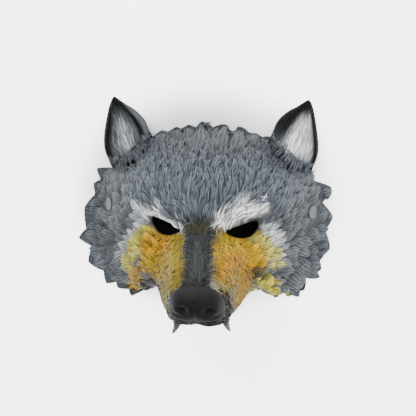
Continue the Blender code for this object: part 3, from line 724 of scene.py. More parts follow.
def airbrush(points, wander):
    """The sprayed colour at each point of the row frame. The edge of each stroke wanders."""
    flat = (points - TO_ROW)[:, :2] / MM
    flat = flat + wander * np.stack(
        [ripple(flat, 9, 3) + 0.5 * ripple(flat, 3.1, 4), ripple(flat, 8, 5)], axis=1
    )
    colour = np.tile(linear(BASE_GREY), (len(flat), 1))
    for stroke in STROKES:
        start, end = np.array(stroke.start, float), np.array(stroke.end, float)
        way = end - start
        share = np.clip((flat - start) @ way / (way @ way), 0, 1)
        distance = np.linalg.norm(flat - start - share[:, None] * way, axis=1)
        cover = stroke.strength * eased(1 - (distance - stroke.width) / stroke.soft)
        colour = coat(colour, stroke.colour, cover)
    return colour


# ---------------------------------------------------------------- skin of the face

SKIN_ROWS = 104
SKIN_TUFT_ROWS = 7
SKIN_COLUMNS = 401
DOME_END = 0.25
SMOOTHING = 60
SEAT_START = 0.83
SKIN_RIDGE_IN_PAINTED_SHADE = 0.30
SKIN_WANDER = 1.2
LOCK_WANDER = 1.0


def skin_grids(face):
    """Outer and inner grids of the foam, out to the tips of the rim's tufts, with the hair
    coordinates that go with them."""
    out = np.linspace(0, 1, SKIN_ROWS)
    along = np.linspace(-1, 1, SKIN_COLUMNS)
    outer = face.read_sheet(face.skin, out, along)
    inward = face.read_sheet(face.base_normal, out, along)
    hair = face.read_sheet(face.hair, out, along)
    inward[:, :, 0] *= share_between((0, DOME_END), out)[:, None]
    for _ in range(SMOOTHING):
        inward[:, 1:-1] = (inward[:, :-2] + 2 * inward[:, 1:-1] + inward[:, 2:]) / 4
    wall = FOAM_WALL + (LIP_WALL - FOAM_WALL) * share_between((0.50, 0.80), np.abs(along))
    inner = outer - inward * wall[:, None]

    reach = rim_reach(along)
    away = away_from_face(outer[-1])
    outer[-1, :, 2] = RIM_WALL
    inner[-1] = outer[-1] - away * RIM_WALL / 2
    inner[-1, :, 2] = 0
    pull = share_between((SEAT_START, 1), out) ** 1.5
    dip = pull[:, None, None] * (away * np.minimum(reach, 0)[:, None])[None]
    outer += dip
    inner += dip
    inner[:, :, 2] = np.maximum(inner[:, :, 2], 0)

    rows, under_rows, hair_rows = [outer], [inner], [hair]
    outward = np.maximum(reach, 0)
    for step in range(1, SKIN_TUFT_ROWS + 1):
        share = step / SKIN_TUFT_ROWS
        move = away * (outward * share + 0.0005 * share)[:, None]
        tip = outer[-1] + move
        tip[:, 2] = RIM_WALL * (1 - 0.45 * share * outward / TUFT_LENGTH)
        below = inner[-1] + move + away * RIM_WALL / 2 * share
        below[:, 2] = 0
        rows.append(tip[None])
        under_rows.append(below[None])
        hair_rows.append(hair[-1:] + [[[0, 1, 0]]] * (outward * share)[None, :, None])
    grids = [np.concatenate(part) for part in (rows, under_rows, hair_rows)]
    return grids


def eye_outline(side):
    """The eye hole's outline in the mask's own frame, as a closed ring of points."""
    corners = len(EYE_OUTLINE)
    around = np.linspace(0, corners, 12 * corners, endpoint=False)
    outline = smooth_through(np.arange(-corners, 2 * corners), EYE_OUTLINE * 3, around)
    ring = outline * (side * EYE_WIDTH, EYE_HEIGHT)
    return ring + (side * EYE_CENTRE[0] * HALF_WIDTH, EYE_CENTRE[1] * FACE_HEIGHT)


def inside_ring(points, ring):
    """Which points, in plan, lie inside a closed ring."""
    inside = np.zeros(len(points), bool)
    for (ax, ay), (bx, by) in zip(ring, np.roll(ring, -1, axis=0)):
        crosses = (ay > points[:, 1]) != (by > points[:, 1])
        with np.errstate(divide="ignore", invalid="ignore"):
            at = ax + (points[:, 1] - ay) * (bx - ax) / (by - ay)
        inside ^= crosses & (points[:, 0] < at)
    return inside


def make_skin(face):
    """The foam with its eye holes: squares inside their outlines are left out, and the points
    round them are drawn to the outline."""
    outer, inner, hair = skin_grids(face)
    rows, columns = outer.shape[:2]
    middle = (outer[:-1, :-1] + outer[1:, 1:]) / 2
    holes = np.zeros((rows - 1, columns - 1), bool)
    facing = outward_normals(outer)
    for side in SIDES.values():
        ring = eye_outline(side)
        inside = inside_ring(middle.reshape(-1, 3)[:, :2], ring).reshape(holes.shape)
        inside &= middle[:, :, 2] > EYE_LOWEST
        holes |= inside
        touched = np.zeros((rows, columns), int)
        for dr in (0, 1):
            for dc in (0, 1):
                touched[dr : rows - 1 + dr, dc : columns - 1 + dc] += inside
        edge = np.argwhere((touched > 0) & (touched < 4))
        for r, c in edge:
            gap = ring - outer[r, c, :2]
            nearest = gap[np.argmin((gap**2).sum(axis=1))]
            slope = -(facing[r, c, :2] @ nearest) / max(facing[r, c, 2], 0.3)
            shift = np.array([*nearest, slope])
            outer[r, c] += shift
            inner[r, c] += shift
    skin = add_sheet("face_skin", outer, inner, FOAM, INSIDE, halves_meet=True, holes=holes)
    mesh = skin.data
    # the squares come first, all painted ones before all inside ones, then the walls
    squares = int((~holes).sum())
    inside_face = np.zeros(len(mesh.polygons), np.int32)
    inside_face[squares : 2 * squares] = 1
    mesh.polygons.foreach_set("material_index", inside_face)
    places = np.concatenate([outer.reshape(-1, 3), inner.reshape(-1, 3)]) + TO_ROW
    write_attribute(mesh, "spray", airbrush(places, SKIN_WANDER), "FLOAT_COLOR")
    # painted shade: the skin that shows between the locks takes the dark tone of a groove
    write_attribute(mesh, "ridge", np.full(len(places), SKIN_RIDGE_IN_PAINTED_SHADE), "FLOAT")
    write_attribute(mesh, "hair", np.concatenate([hair.reshape(-1, 3)] * 2), "FLOAT_VECTOR")
    weld(mesh)
    return skin


# ---------------------------------------------------------------- locks of fur

def lock_template(name, strands, rows, bend, groove=0.45, root_width=0.22, root_painted_shade=0.45,
                  tip_rise=0.1, edge_painted_shade=0.0):
    """One lock of fur, a unit long and wide, that lies along +Y and rises along +Z: a pointed
    leaf with rounded strands that run together at its tip, closed underneath."""
    columns = 3 * strands + 1
    u = np.linspace(0, 1, columns)
    v = np.linspace(0, 1, rows + 1)
    half = smooth_through((0, 0.2, 0.45, 0.7, 0.9, 1),
                          (root_width, 0.40, 0.5, 0.40, 0.17, 0.02), v)
    rise = smooth_through((0, 0.2, 0.55, 0.82, 1),
                          (-0.45, 0.28, 0.90, 0.45 + 0.55 * tip_rise, tip_rise), v)
    ridge = np.sin(np.pi * strands * u) ** 2
    crown = (1 - (2 * u - 1) ** 2) ** 0.5
    grid = np.zeros((rows + 1, columns, 3))
    grid[:, :, 0] = (2 * u - 1) * half[:, None]
    grid[:, :, 0] += (bend * (v**2 - 0.6 * np.sin(np.pi * v)))[:, None]
    grid[:, :, 1] = v[:, None]
    grid[:, :, 2] = rise[:, None] * crown * (1 - groove * (1 - ridge))
    edge = np.zeros((rows + 1, columns), bool)
    edge[0] = edge[-1] = edge[:, 0] = edge[:, -1] = True
    grid[:, :, 2] = np.where(edge, np.minimum(grid[:, :, 2], -0.25), grid[:, :, 2])
    number = np.arange(grid.shape[0] * columns).reshape(grid.shape[0], columns)
    faces = [
        (number[r, c], number[r, c + 1], number[r + 1, c + 1], number[r + 1, c])
        for r in range(rows) for c in range(columns - 1)
    ]
    faces.append((*number[0, ::-1], *number[1:-1, 0], *number[-1], *number[-2:0:-1, -1]))
    lock = add_mesh(name, grid.reshape(-1, 3), faces)
    # Painted shade: each lock is darker in the grooves between its strands, along its edges and
    # towards its root, where neighbouring locks lie over it
    shown = np.where(edge, edge_painted_shade, 0.22 + 0.78 * ridge[None] * np.ones((rows + 1, 1)))
    shown *= np.clip(root_painted_shade + 0.8 * v, 0, 1)[:, None]
    write_attribute(lock.data, "ridge", shown.ravel(), "FLOAT")
    write_attribute(lock.data, "tip", np.repeat(v, columns), "FLOAT")
    write_attribute(lock.data, "rise", grid[:, :, 2].ravel(), "FLOAT")
    return lock


def lock_laying_tree():
    """Geometry Nodes that lay locks on a guide: each seed point turns its lock along its
    flow, sizes it, and every point of the lock is then lifted off the guide by its rise."""
    tree = bpy.data.node_groups.new("lay_locks_on_face", "GeometryNodeTree")
    for name, kind in (
        ("Seeds", "Geometry"), ("Guide", "Object"), ("Lock", "Object"), ("Other Lock", "Object"),
        ("Length", "Float"), ("Width", "Float"), ("Rise", "Float"), ("Turn", "Float"),
        ("Uneven", "Float"), ("Seed", "Int"), ("Paint", "Material"),
    ):
        tree.interface.new_socket(name, in_out="INPUT", socket_type=f"NodeSocket{kind}")
    tree.interface.new_socket("Locks", in_out="OUTPUT", socket_type="NodeSocketGeometry")
    given = add_node(tree, "NodeGroupInput").outputs

    layers = {
        name: add_node(tree, "GeometryNodeInputNamedAttribute", {"Name": name},
                       data_type=kind).outputs["Attribute"]
        for name, kind in (
            ("facing", "FLOAT_VECTOR"), ("flow", "FLOAT_VECTOR"), ("size", "FLOAT_VECTOR"),
            ("up", "FLOAT_VECTOR"), ("hair", "FLOAT_VECTOR"), ("rise", "FLOAT"),
            ("lift", "FLOAT"),
        )
    }
    place = add_node(tree, "GeometryNodeInputPosition").outputs[0]
    luck = {}
    for offset, trait in enumerate(("turn", "size", "lift", "pattern", "shade"), 1):
        seed = add_node(tree, "ShaderNodeMath", {0: given["Seed"], 1: float(offset)})
        if trait == "pattern":
            luck[trait] = add_node(tree, "FunctionNodeRandomValue",
                                   {4: 0, 5: 1, "Seed": seed}, data_type="INT").outputs[2]
        else:
            luck[trait] = add_node(tree, "FunctionNodeRandomValue",
                                   {2: -1.0, 3: 1.0, "Seed": seed},
                                   data_type="FLOAT").outputs[1]

    # each lock stands on the face and lies along its flow, turned a little by chance
    upright = add_node(tree, "FunctionNodeAlignRotationToVector",
                       {"Vector": layers["facing"]}, axis="Z")
    along = add_node(tree, "FunctionNodeAlignRotationToVector",
                     {"Rotation": upright, "Vector": layers["flow"]}, axis="Y",
                     pivot_axis="Z")
    swing = add_node(tree, "ShaderNodeMath", {0: luck["turn"], 1: given["Turn"]},
                     operation="MULTIPLY")
    spin = add_node(tree, "FunctionNodeAxisAngleToRotation",
                    {"Axis": (0, 0, 1), "Angle": swing})
    turned = add_node(tree, "FunctionNodeRotateRotation",
                      {"Rotation": along, "Rotate By": spin}, rotation_space="LOCAL")
    own = add_node(tree, "ShaderNodeSeparateXYZ", {0: layers["size"]}).outputs
    sizes = []
    for name, of_seed, trait in zip(("Width", "Length", "Rise"), own, ("size", "size", "lift")):
        uneven = add_node(tree, "ShaderNodeMath", {0: luck[trait], 1: given["Uneven"], 2: 1.0},
                          operation="MULTIPLY_ADD")
        whole = add_node(tree, "ShaderNodeMath", {0: given[name], 1: of_seed},
                         operation="MULTIPLY")
        sizes.append(add_node(tree, "ShaderNodeMath", {0: whole, 1: uneven},
                              operation="MULTIPLY").outputs[0])
    scale = add_node(tree, "ShaderNodeCombineXYZ", dict(enumerate(sizes)))
    patterns = add_node(tree, "GeometryNodeJoinGeometry")
    for socket in ("Other Lock", "Lock"):
        info = add_node(tree, "GeometryNodeObjectInfo",
                        {"Object": given[socket], "As Instance": True})
        tree.links.new(info.outputs["Geometry"], patterns.inputs[0])
    kept = add_node(tree, "GeometryNodeInstanceOnPoints", {
        "Points": given["Seeds"], "Instance": patterns, "Pick Instance": True,
        "Instance Index": luck["pattern"], "Rotation": turned, "Scale": scale})
    for name, value, kind in (
        ("shade", luck["shade"], "FLOAT"), ("lift", sizes[2], "FLOAT"),
        ("up", layers["facing"], "FLOAT_VECTOR"), ("root", place, "FLOAT_VECTOR"),
    ):
        kept = add_node(tree, "GeometryNodeStoreNamedAttribute",
                        {"Geometry": kept, "Name": name, "Value": value},
                        data_type=kind, domain="INSTANCE")
    real = add_node(tree, "GeometryNodeRealizeInstances", {"Geometry": kept})

    # each point of a lock goes level to the guide, and is lifted off it by its own height
    height = add_node(tree, "ShaderNodeMath", {0: layers["rise"], 1: layers["lift"]},
                      operation="MULTIPLY")
    rising = add_node(tree, "ShaderNodeVectorMath", {0: layers["up"], "Scale": height},
                      operation="SCALE")
    level = add_node(tree, "ShaderNodeVectorMath", {0: place, 1: rising},
                     operation="SUBTRACT")
    guide = add_node(tree, "GeometryNodeObjectInfo", {"Object": given["Guide"]})
    footing, facing, hair = (
        add_node(tree, "GeometryNodeSampleNearestSurface",
                 {"Mesh": guide.outputs["Geometry"], "Value": value,
                  "Sample Position": level}, data_type="FLOAT_VECTOR").outputs["Value"]
        for value in (place, layers["facing"], layers["hair"])
    )
    lifted = add_node(tree, "ShaderNodeVectorMath", {0: facing, "Scale": height},
                      operation="SCALE")
    moved = add_node(tree, "ShaderNodeVectorMath", {0: footing, 1: lifted}, operation="ADD")
    combed = add_node(tree, "GeometryNodeStoreNamedAttribute",
                      {"Geometry": real, "Name": "hair", "Value": hair},
                      data_type="FLOAT_VECTOR", domain="POINT")
    laid = add_node(tree, "GeometryNodeSetPosition", {"Geometry": combed, "Position": moved})
    painted = add_node(tree, "GeometryNodeSetMaterial",
                       {"Geometry": laid, "Material": given["Paint"]})
    add_node(tree, "NodeGroupOutput", {0: painted})
    return tree


def guide_from(name, skin, facing, hair):
    """A hidden surface that locks follow, with the normals and hair coordinates they read."""
    rows, columns = skin.shape[:2]
    number = np.arange(rows * columns).reshape(rows, columns)
    faces = np.stack([number[:-1, :-1], number[:-1, 1:], number[1:, 1:], number[1:, :-1]], -1)
    guide = add_mesh(name, skin.reshape(-1, 3) + TO_ROW, faces.reshape(-1, 4))
    write_attribute(guide.data, "facing", facing.reshape(-1, 3), "FLOAT_VECTOR")
    write_attribute(guide.data, "hair", hair.reshape(-1, 3), "FLOAT_VECTOR")
    return guide


def face_guide(face):
    """The smooth face for the locks to follow, with a flat border for the rim's tufts."""
    out = np.linspace(0, 1, 121)
    along = np.linspace(-1, 1, 321)
    skin, facing, hair = (
        face.read_sheet(grid, out, along) for grid in (face.skin, face.normal, face.hair)
    )
    skin[-1, :, 2] = RIM_WALL
    away = away_from_face(skin[-1])
    pull = share_between((SEAT_START, 1), out) ** 1.5
    skin += pull[:, None, None] * (away * np.minimum(rim_reach(along), 0)[:, None])[None]
    level = np.zeros_like(facing[-1])
    level[:, 2] = 1
    facing[-1] = unit(facing[-1] + level)
    widths = 0.003 * np.arange(1, 9)
    climb = np.zeros_like(away)
    climb[:, 2] = 0.30 * at_ear(along)
    border = [skin[-1] + (away + climb) * width for width in widths]
    border_hair = [hair[-1] + [0, width, 0] for width in widths]
    return guide_from("face_guide", np.concatenate([skin, border]),
                      np.concatenate([facing, [level] * len(widths)]),
                      np.concatenate([hair, border_hair]))


Seeds = namedtuple("Seeds", "points facing flow size")
LEAST_ROOM = 0.35


def scatter(patch, region, across, length, comb=None, tries=26000, seed=1):
    """Seeds spread over a region of a patch, no two closer than across side by side or
    length one after the other. comb turns the flow away from straight outwards."""
    dice = np.random.default_rng(seed)
    out = dice.uniform(0.0, 1.0, tries)
    along = dice.uniform(-0.98, 0.98, tries)
    points = patch.read(patch.skin, out, along)
    wanted = region(out, along, points / MM)
    out, along, points = out[wanted], along[wanted], points[wanted]
    facing = unit(patch.read(patch.normal, out, along))
    flow = unit(patch.read(patch.outwards, out, along))
    if comb is not None:
        flow = comb(out, along, points / MM, flow, facing)
    flow = unit(flow - facing * (flow * facing).sum(axis=1, keepdims=True))
    side = np.cross(flow, facing)
    kept = []
    chosen = np.zeros((0, 3))
    for k in range(len(points)):
        gap = chosen - points[k]
        if len(gap):
            spread = (gap @ side[k] / across) ** 2 + (gap @ flow[k] / length) ** 2
            spread += (gap @ facing[k] / (2 * across)) ** 2
            if spread.min() < 1:
                continue
        kept.append(k)
        chosen = np.concatenate([chosen, points[k : k + 1]])
    return Seeds(points[kept], facing[kept], flow[kept], np.ones((len(kept), 3)))


def keep_clear(seeds, covered, length, width):
    """Shortens the locks that would grow over places that must stay bare, and leaves out
    those with too little room. covered tells it of points in metres."""
    size = seeds.size.copy()
    side = np.cross(seeds.flow, seeds.facing)
    room = np.ones(len(size))
    for share in np.linspace(1, 0, 17):
        for across in (-0.38, 0, 0.38):
            if abs(across) > 0 and share > 0.85:
                continue
            place = seeds.points + seeds.flow * (share * length * size[:, 1])[:, None]
            place = place + side * (across * width * size[:, 0])[:, None]
            room = np.where(covered(place), np.minimum(room, share), room)
    kept = room > LEAST_ROOM
    for column, power in ((0, 0.5), (1, 1.0), (2, 0.5)):
        size[:, column] *= room**power
    return Seeds(seeds.points[kept], seeds.facing[kept], seeds.flow[kept], size[kept])


def lay_locks(name, seeds, templates, guide, tree, **values):
    """Lays locks on the face and returns them as one plain mesh."""
    carrier = add_mesh(name + "_seeds", seeds.points + TO_ROW, [])
    for key, value in (("facing", seeds.facing), ("flow", seeds.flow), ("size", seeds.size)):
        write_attribute(carrier.data, key, value, "FLOAT_VECTOR")
    laying = carrier.modifiers.new("lay", "NODES")
    laying.node_group = tree
    sockets = {item.name: item.identifier for item in tree.interface.items_tree
               if item.in_out == "INPUT"}
    settings = {"Guide": guide, "Lock": templates[0], "Other Lock": templates[1],
                "Seed": 3, "Paint": FOAM}
    settings.update({key.replace("_", " ").title(): value for key, value in values.items()})
    for key, value in settings.items():
        laying[sockets[key]] = value
    bpy.context.view_layer.update()
    held = bpy.context.evaluated_depsgraph_get()
    mesh = bpy.data.meshes.new_from_object(carrier.evaluated_get(held))
    mesh.name = name
    carrier.modifiers.remove(laying)
    bpy.data.objects.remove(carrier)
    mesh.shade_smooth()
    return put_in_scene(name, mesh)


def drop_working_layers(mesh):
    """Takes away what only the laying and the painting of locks needed."""
    for spare in ("root", "shade", "lift", "up", "rise", "tip"):
        layer = mesh.attributes.get(spare)
        if layer:
            mesh.attributes.remove(layer)


def spray_locks(piece, colour=None):
    """Paints locks: mostly by where they are, a little by where they are rooted, and each a
    little off, so that coats meet in streaks. Roots are painted darker and tips lighter, as
    painted shade where locks overlap."""
    mesh = piece.data
    luck = read_attribute(mesh, "shade")
    tip = read_attribute(mesh, "tip")
    if colour:
        tone = np.tile(linear(colour), (len(luck), 1))
    else:
        places = 0.65 * points_of(mesh) + 0.35 * read_attribute(mesh, "root", 3)
        places[:, 0] += 0.0020 * np.sin(9 * luck)
        places[:, 1] += 0.0038 * luck
        tone = airbrush(places, LOCK_WANDER)
    # painted shade: darker towards the root, lighter at the tip; each lock also a little off in
    # tone by chance
    tone *= ((1 + 0.16 * np.sin(23 * luck)) * (0.84 + 0.28 * tip))[:, None]
    write_attribute(mesh, "spray", tone, "FLOAT_COLOR")
    drop_working_layers(mesh)


def near_eye(points, margin):
    """Whether points, in mm of the mask's frame, lie inside or close to an eye hole."""
    found = np.zeros(len(points), bool)
    for side in SIDES.values():
        ring = eye_outline(side) / MM
        centre = ring.mean(axis=0)
        grown = centre + (ring - centre) * (1 + margin / 8)
        found |= inside_ring(points[:, :2], grown)
    return found


# Where each kind of lock grows. out and along are places on the face, points are in mm

def on_muzzle(out, along, points):
    return (out < 0.64) & (out > 0.262) & (np.abs(along) < 0.84) & ~near_eye(points, 1.2)


def on_nose_border(out, along, points):
    side = (np.abs(along) > 0.61) & (out > 0.01)
    return (out <= 0.262) & ((out > 0.235) | side) & (np.abs(along) < 0.86)


def on_nose_fringe(out, along, points):
    """Close round the nose, and wider where black hair covers its right."""
    ring = (out > 0.235) & (out < 0.275) & (np.abs(along) < 0.82)
    right = (out > 0.02) & (out < 0.33) & (along < 0.82)
    right &= along > 0.30 + 0.9 * (0.24 - out).clip(0)
    left = (out > 0.04) & (out < 0.25) & (along < -0.60) & (along > -0.68)
    return ring | right | left


def in_bright_coats(out, along, points):
    """Where dark hair shows between the orange and yellow coats."""
    edge = np.abs(along)
    muzzle = (out > 0.27) & (out < 0.66) & (edge > 0.17) & (edge < 0.80)
    return muzzle | ((out > 0.60) & (out < 0.74) & (edge > 0.34) & (edge < 0.72))


# Lower lines of the brows, in mm from the centreline
BROW_LINES = (
    ((-63, -1), (-47, -2), (-38, -5), (-24, -14)),
    ((14, -8), (30, 0), (45, 5), (62, 8)),
)


def brow_height(points):
    """How far points stand above the lower line of the brows, in mm."""
    high = np.full(len(points), -99.0)
    for line in np.array(BROW_LINES, float):
        inside = (points[:, 0] > line[0, 0]) & (points[:, 0] < line[-1, 0])
        level = np.interp(points[:, 0], line[:, 0], line[:, 1])
        high = np.where(inside, points[:, 1] - level, high)
    return high


def on_brow(out, along, points):
    high = brow_height(points)
    return (out > 0.5) & (high > 0.5) & (high < 13) & (points[:, 2] > 40)


def comb_brow(out, along, points, flow, facing):
    """The brows are combed down and in, to the root of the nose."""
    left = points[:, 0] < 0
    inner = np.clip(np.where(left, (points[:, 0] + 62) / 38, (60 - points[:, 0]) / 42), 0, 1)
    angle = np.where(left, -0.55 - 0.50 * inner, math.pi + 0.40 + 0.75 * inner)
    return np.stack([np.cos(angle), np.sin(angle), 0 * angle], axis=1)


def on_forehead(out, along, points):
    limit = 0.26 + 0.04 * np.clip((out - 0.8) / 0.2, 0, 1)
    ears = at_ear(along) & (out > 0.935)
    high = brow_height(points)
    clear = ((high > 9) | (high < -50)) & ~near_eye(points, 2.5)
    return (out > 0.62) & (out < 0.995) & (np.abs(along) < limit) & ~ears & clear


def on_ear_seat(out, along, points):
    return (out > 0.88) & (out < 0.985) & at_ear(along, 0.012)


def on_cheek(out, along, points):
    edge = np.abs(along)
    clear = (brow_height(points) < -2) & ~near_eye(points, 1.5)
    return (out > 0.60) & (out < 0.80) & (edge > 0.28) & (edge < 0.88) & clear


def on_ruff(out, along, points):
    edge = np.abs(along)
    return (out > 0.74) & (out < 0.90) & (edge > 0.25) & (edge < 0.95)


def on_ruff_edge(out, along, points):
    edge = np.abs(along)
    return (out > 0.89) & (out < 0.985) & (edge > 0.285) & (edge < 0.96)


def comb_muzzle(out, along, points, flow, facing):
    """Muzzle fur runs up the middle of the stripe and turns out and down on both sides."""
    turn = np.clip(points[:, 0] / 12, -1, 1) * 2.0
    return np.stack([np.sin(turn), np.cos(turn), 0 * turn], axis=1)


# What locks must not cover. Places are in metres of the mask's own frame

def over_eyes(places):
    return near_eye(places / MM, 0.2)


def over_studs(places):
    found = np.zeros(len(places), bool)
    for centre in STUD_CENTRES:
        found |= np.linalg.norm(places - centre, axis=1) < STUD_RADIUS + 0.0012
    return found


def over_eyes_or_rim(places):
    return over_eyes(places) | past_rim(places)


def past_rim(places):
    return ~inside_ring(places[:, :2], RIM_OUTLINE) | over_studs(places)


WIDEST_TUFT = 0.034
NARROW_TUFT = 0.018


def tuft_seeds(face):
    """One long lock over each tuft of the rim, from inside the rim to the tuft's tip."""
    parts = []
    for name, side in SIDES.items():
        before = 0.0
        for tuft in TUFTS[name]:
            if before < EAR_SEATS[name][1] < tuft.tip:
                before = EAR_SEATS[name][1]
            ends = face.read(face.skin, np.ones(2), side * np.array([before, tuft.root]))
            wide = min(np.linalg.norm(ends[1] - ends[0]) * 1.05, WIDEST_TUFT)
            rim = face.spot(face.skin, 1.0, side * tuft.tip)
            tip = rim + away_from_face(rim[None])[0] * (tuft.reach + 1.2) * MM
            tip[2] = RIM_WALL
            start = 1 - (0.05 if wide < NARROW_TUFT else 0.085)
            root = face.spot(face.skin, start, side * tuft.tip)
            way = tip - root
            long = np.linalg.norm(way)
            parts.append((root, face.spot(face.normal, start, side * tuft.tip), way / long,
                          (wide, long, 0.0022 + 0.09 * wide)))
            before = tuft.root
    return Seeds(*(np.array(part) for part in zip(*parts)))


face = Face()
guide = face_guide(face)
tree = lock_laying_tree()
fine = [lock_template(f"fine_{bend}", 1, 5, bend, edge_painted_shade=0.4) for bend in (0.35, -0.35)]
wisp = [lock_template(f"wisp_{bend}", 1, 8, bend, 0.45, 0.10, 0.85) for bend in (0.7, -0.6)]
clump = [lock_template(f"clump_{bend}", 2, 9, bend, 0.5, edge_painted_shade=0.22) for bend in (0.5, -0.5)]
leaf = [lock_template(f"leaf_{bend}", 3, 10, bend, 0.32, tip_rise=0.6) for bend in (0.2, -0.2)]
broad = [lock_template(f"broad_{bend}", 4, 12, bend, 0.35, 0.34, tip_rise=0.5)
         for bend in (0.12, -0.12)]
RIM_OUTLINE = skin_grids(face)[0][-1, :, :2]
STUD_CENTRES = [
    face.spot(face.skin, STUD_SEAT[0], side * STUD_SEAT[1]) for side in SIDES.values()
]

skin = make_skin(face)
locks = []


def grow(name, seeds, templates, covered=None, colour=None, **values):
    """Lays one kind of lock, clear of what it must not cover, and paints it."""
    if covered:
        seeds = keep_clear(seeds, covered, values["length"], values["width"])
    piece = lay_locks(name, seeds, templates, guide, tree, **values)
    spray_locks(piece, colour)
    locks.append(piece)


grow("muzzle_fur", scatter(face, on_muzzle, 0.0013, 0.0042, comb_muzzle, 90000, 2), fine,
     over_eyes, length=0.0090, width=0.0019, rise=0.0006, turn=0.30, uneven=0.25)
grow("nose_border_fur", scatter(face, on_nose_border, 0.0013, 0.0034, comb_muzzle, 60000, 8),
     fine, length=0.0070, width=0.0018, rise=0.0009, turn=0.35, uneven=0.25)
grow("forehead_locks", scatter(face, on_forehead, 0.0030, 0.0080, None, 60000, 4), clump,
     over_eyes_or_rim, length=0.0190, width=0.0050, rise=0.0030, turn=0.30, uneven=0.22)
grow("forehead_wisps", scatter(face, on_forehead, 0.0040, 0.0100, None, 40000, 14), wisp,
     over_eyes_or_rim, length=0.0170, width=0.0030, rise=0.0034, turn=0.40, uneven=0.25)
grow("ear_seat_locks", scatter(face, on_ear_seat, 0.0032, 0.0060, None, 60000, 15), clump,
     length=0.0170, width=0.0060, rise=0.0040, turn=0.30, uneven=0.3)
grow("cheek_locks", scatter(face, on_cheek, 0.0042, 0.0080, None, 40000, 5), leaf,
     over_eyes, length=0.0170, width=0.0068, rise=0.0032, turn=0.28, uneven=0.22)
grow("ruff_locks", scatter(face, on_ruff, 0.0072, 0.0120, None, 20000, 6), broad,
     past_rim, length=0.0280, width=0.0120, rise=0.0050, turn=0.35, uneven=0.3)
grow("ruff_edge_locks", scatter(face, on_ruff_edge, 0.0072, 0.0080, None, 20000, 16), broad,
     past_rim, length=0.0190, width=0.0100, rise=0.0040, turn=0.30, uneven=0.25)
grow("rim_tufts", tuft_seeds(face), broad, over_studs,
     length=1.0, width=1.0, rise=1.0, turn=0.0, uneven=0.0)
grow("brow_wisps", scatter(face, on_brow, 0.0019, 0.0065, comb_brow, 60000, 3), wisp,
     over_eyes, length=0.0160, width=0.0030, rise=0.0026, turn=0.16, uneven=0.25)
grow("unsprayed_wisps", scatter(face, in_bright_coats, 0.0046, 0.0080, comb_muzzle, 30000, 19),
     wisp, over_eyes, "#564a1e", length=0.0085, width=0.0020, rise=0.0010, turn=0.30, uneven=0.4)
grow("nose_fringe", scatter(face, on_nose_fringe, 0.0016, 0.0044, comb_muzzle, 40000, 9), wisp,
     None, "#141513", length=0.0078, width=0.0018, rise=0.0015, turn=0.45, uneven=0.35)


# ---------------------------------------------------------------- ears

def ear_line(root, points, tip, seat_y, side, lean):
    """An edge of the ear, from its root through its points to the tip."""
    places = [(side * (p.x + lean) * HALF_WIDTH, seat_y + p.y * EAR_HEIGHT, p.z * MUZZLE_REACH)
              for p in (*points, tip)]
    line = np.array([root, *places])
    return lambda share: smooth_through(np.linspace(0, 1, len(line)), line, share)


def ear_spray(side, across, up):
    """Colours of an ear's front: across is 0 at the edge towards the crown and 1 at the outer
    edge, up is 0 at the seat and 1 at the tip."""
    tone = np.zeros((*across.shape, 3)) + linear("#50565b")
    if side < 0:
        silver = soft_spot(across, up, (0.62, 0.42), (0.17, 0.27))
        tone = coat(tone, "#dde1e5", silver * 0.75)
        tone = coat(tone, "#3c4042", share_between((0.55, 0.95), up))
        tone = coat(tone, "#7d8488", share_between((0.15, 0.09), across))
        line = np.exp(-(((across - 0.20) / 0.05) ** 2)) * share_between((0.10, 0.3), up)
        tone = coat(tone, "#0e0f10", line * 1.3)
        tone = coat(tone, "#191a18", share_between((0.87, 0.96), across + 0.04 * up))
        tone = coat(tone, "#1a1b19", share_between((0.74, 0.93), up + 0.10 * (1 - across)))
        tone = coat(tone, "#33373a", soft_spot(across, up, (0.78, 0.02), (0.20, 0.13)))
        tone = coat(tone, "#555b60", share_between((0.14, 0.03), up))
    else:
        silver = share_between((0.20, 0.50), across) * share_between((1.0, 0.84), across)
        silver = silver * share_between((0.95, 0.60), up)
        tone = coat(tone, "#f4f6fb", silver)
        band = share_between((0.36, 0.18), across - 0.12 * up) * share_between((0.12, 0.4), up)
        tone = coat(tone, "#191a18", band)
        tone = coat(tone, "#1b1c18", share_between((0.70, 0.90), up + 0.12 * (1 - across)))
        tone = coat(tone, "#191a18", share_between((0.90, 0.96), across))
        tone = coat(tone, "#555b60", share_between((0.16, 0.03), up))
        tone = coat(tone, "#242523", soft_spot(across, up, (0.93, 0.08), (0.16, 0.12)))
    return tone


EAR_BREADTH = 0.045


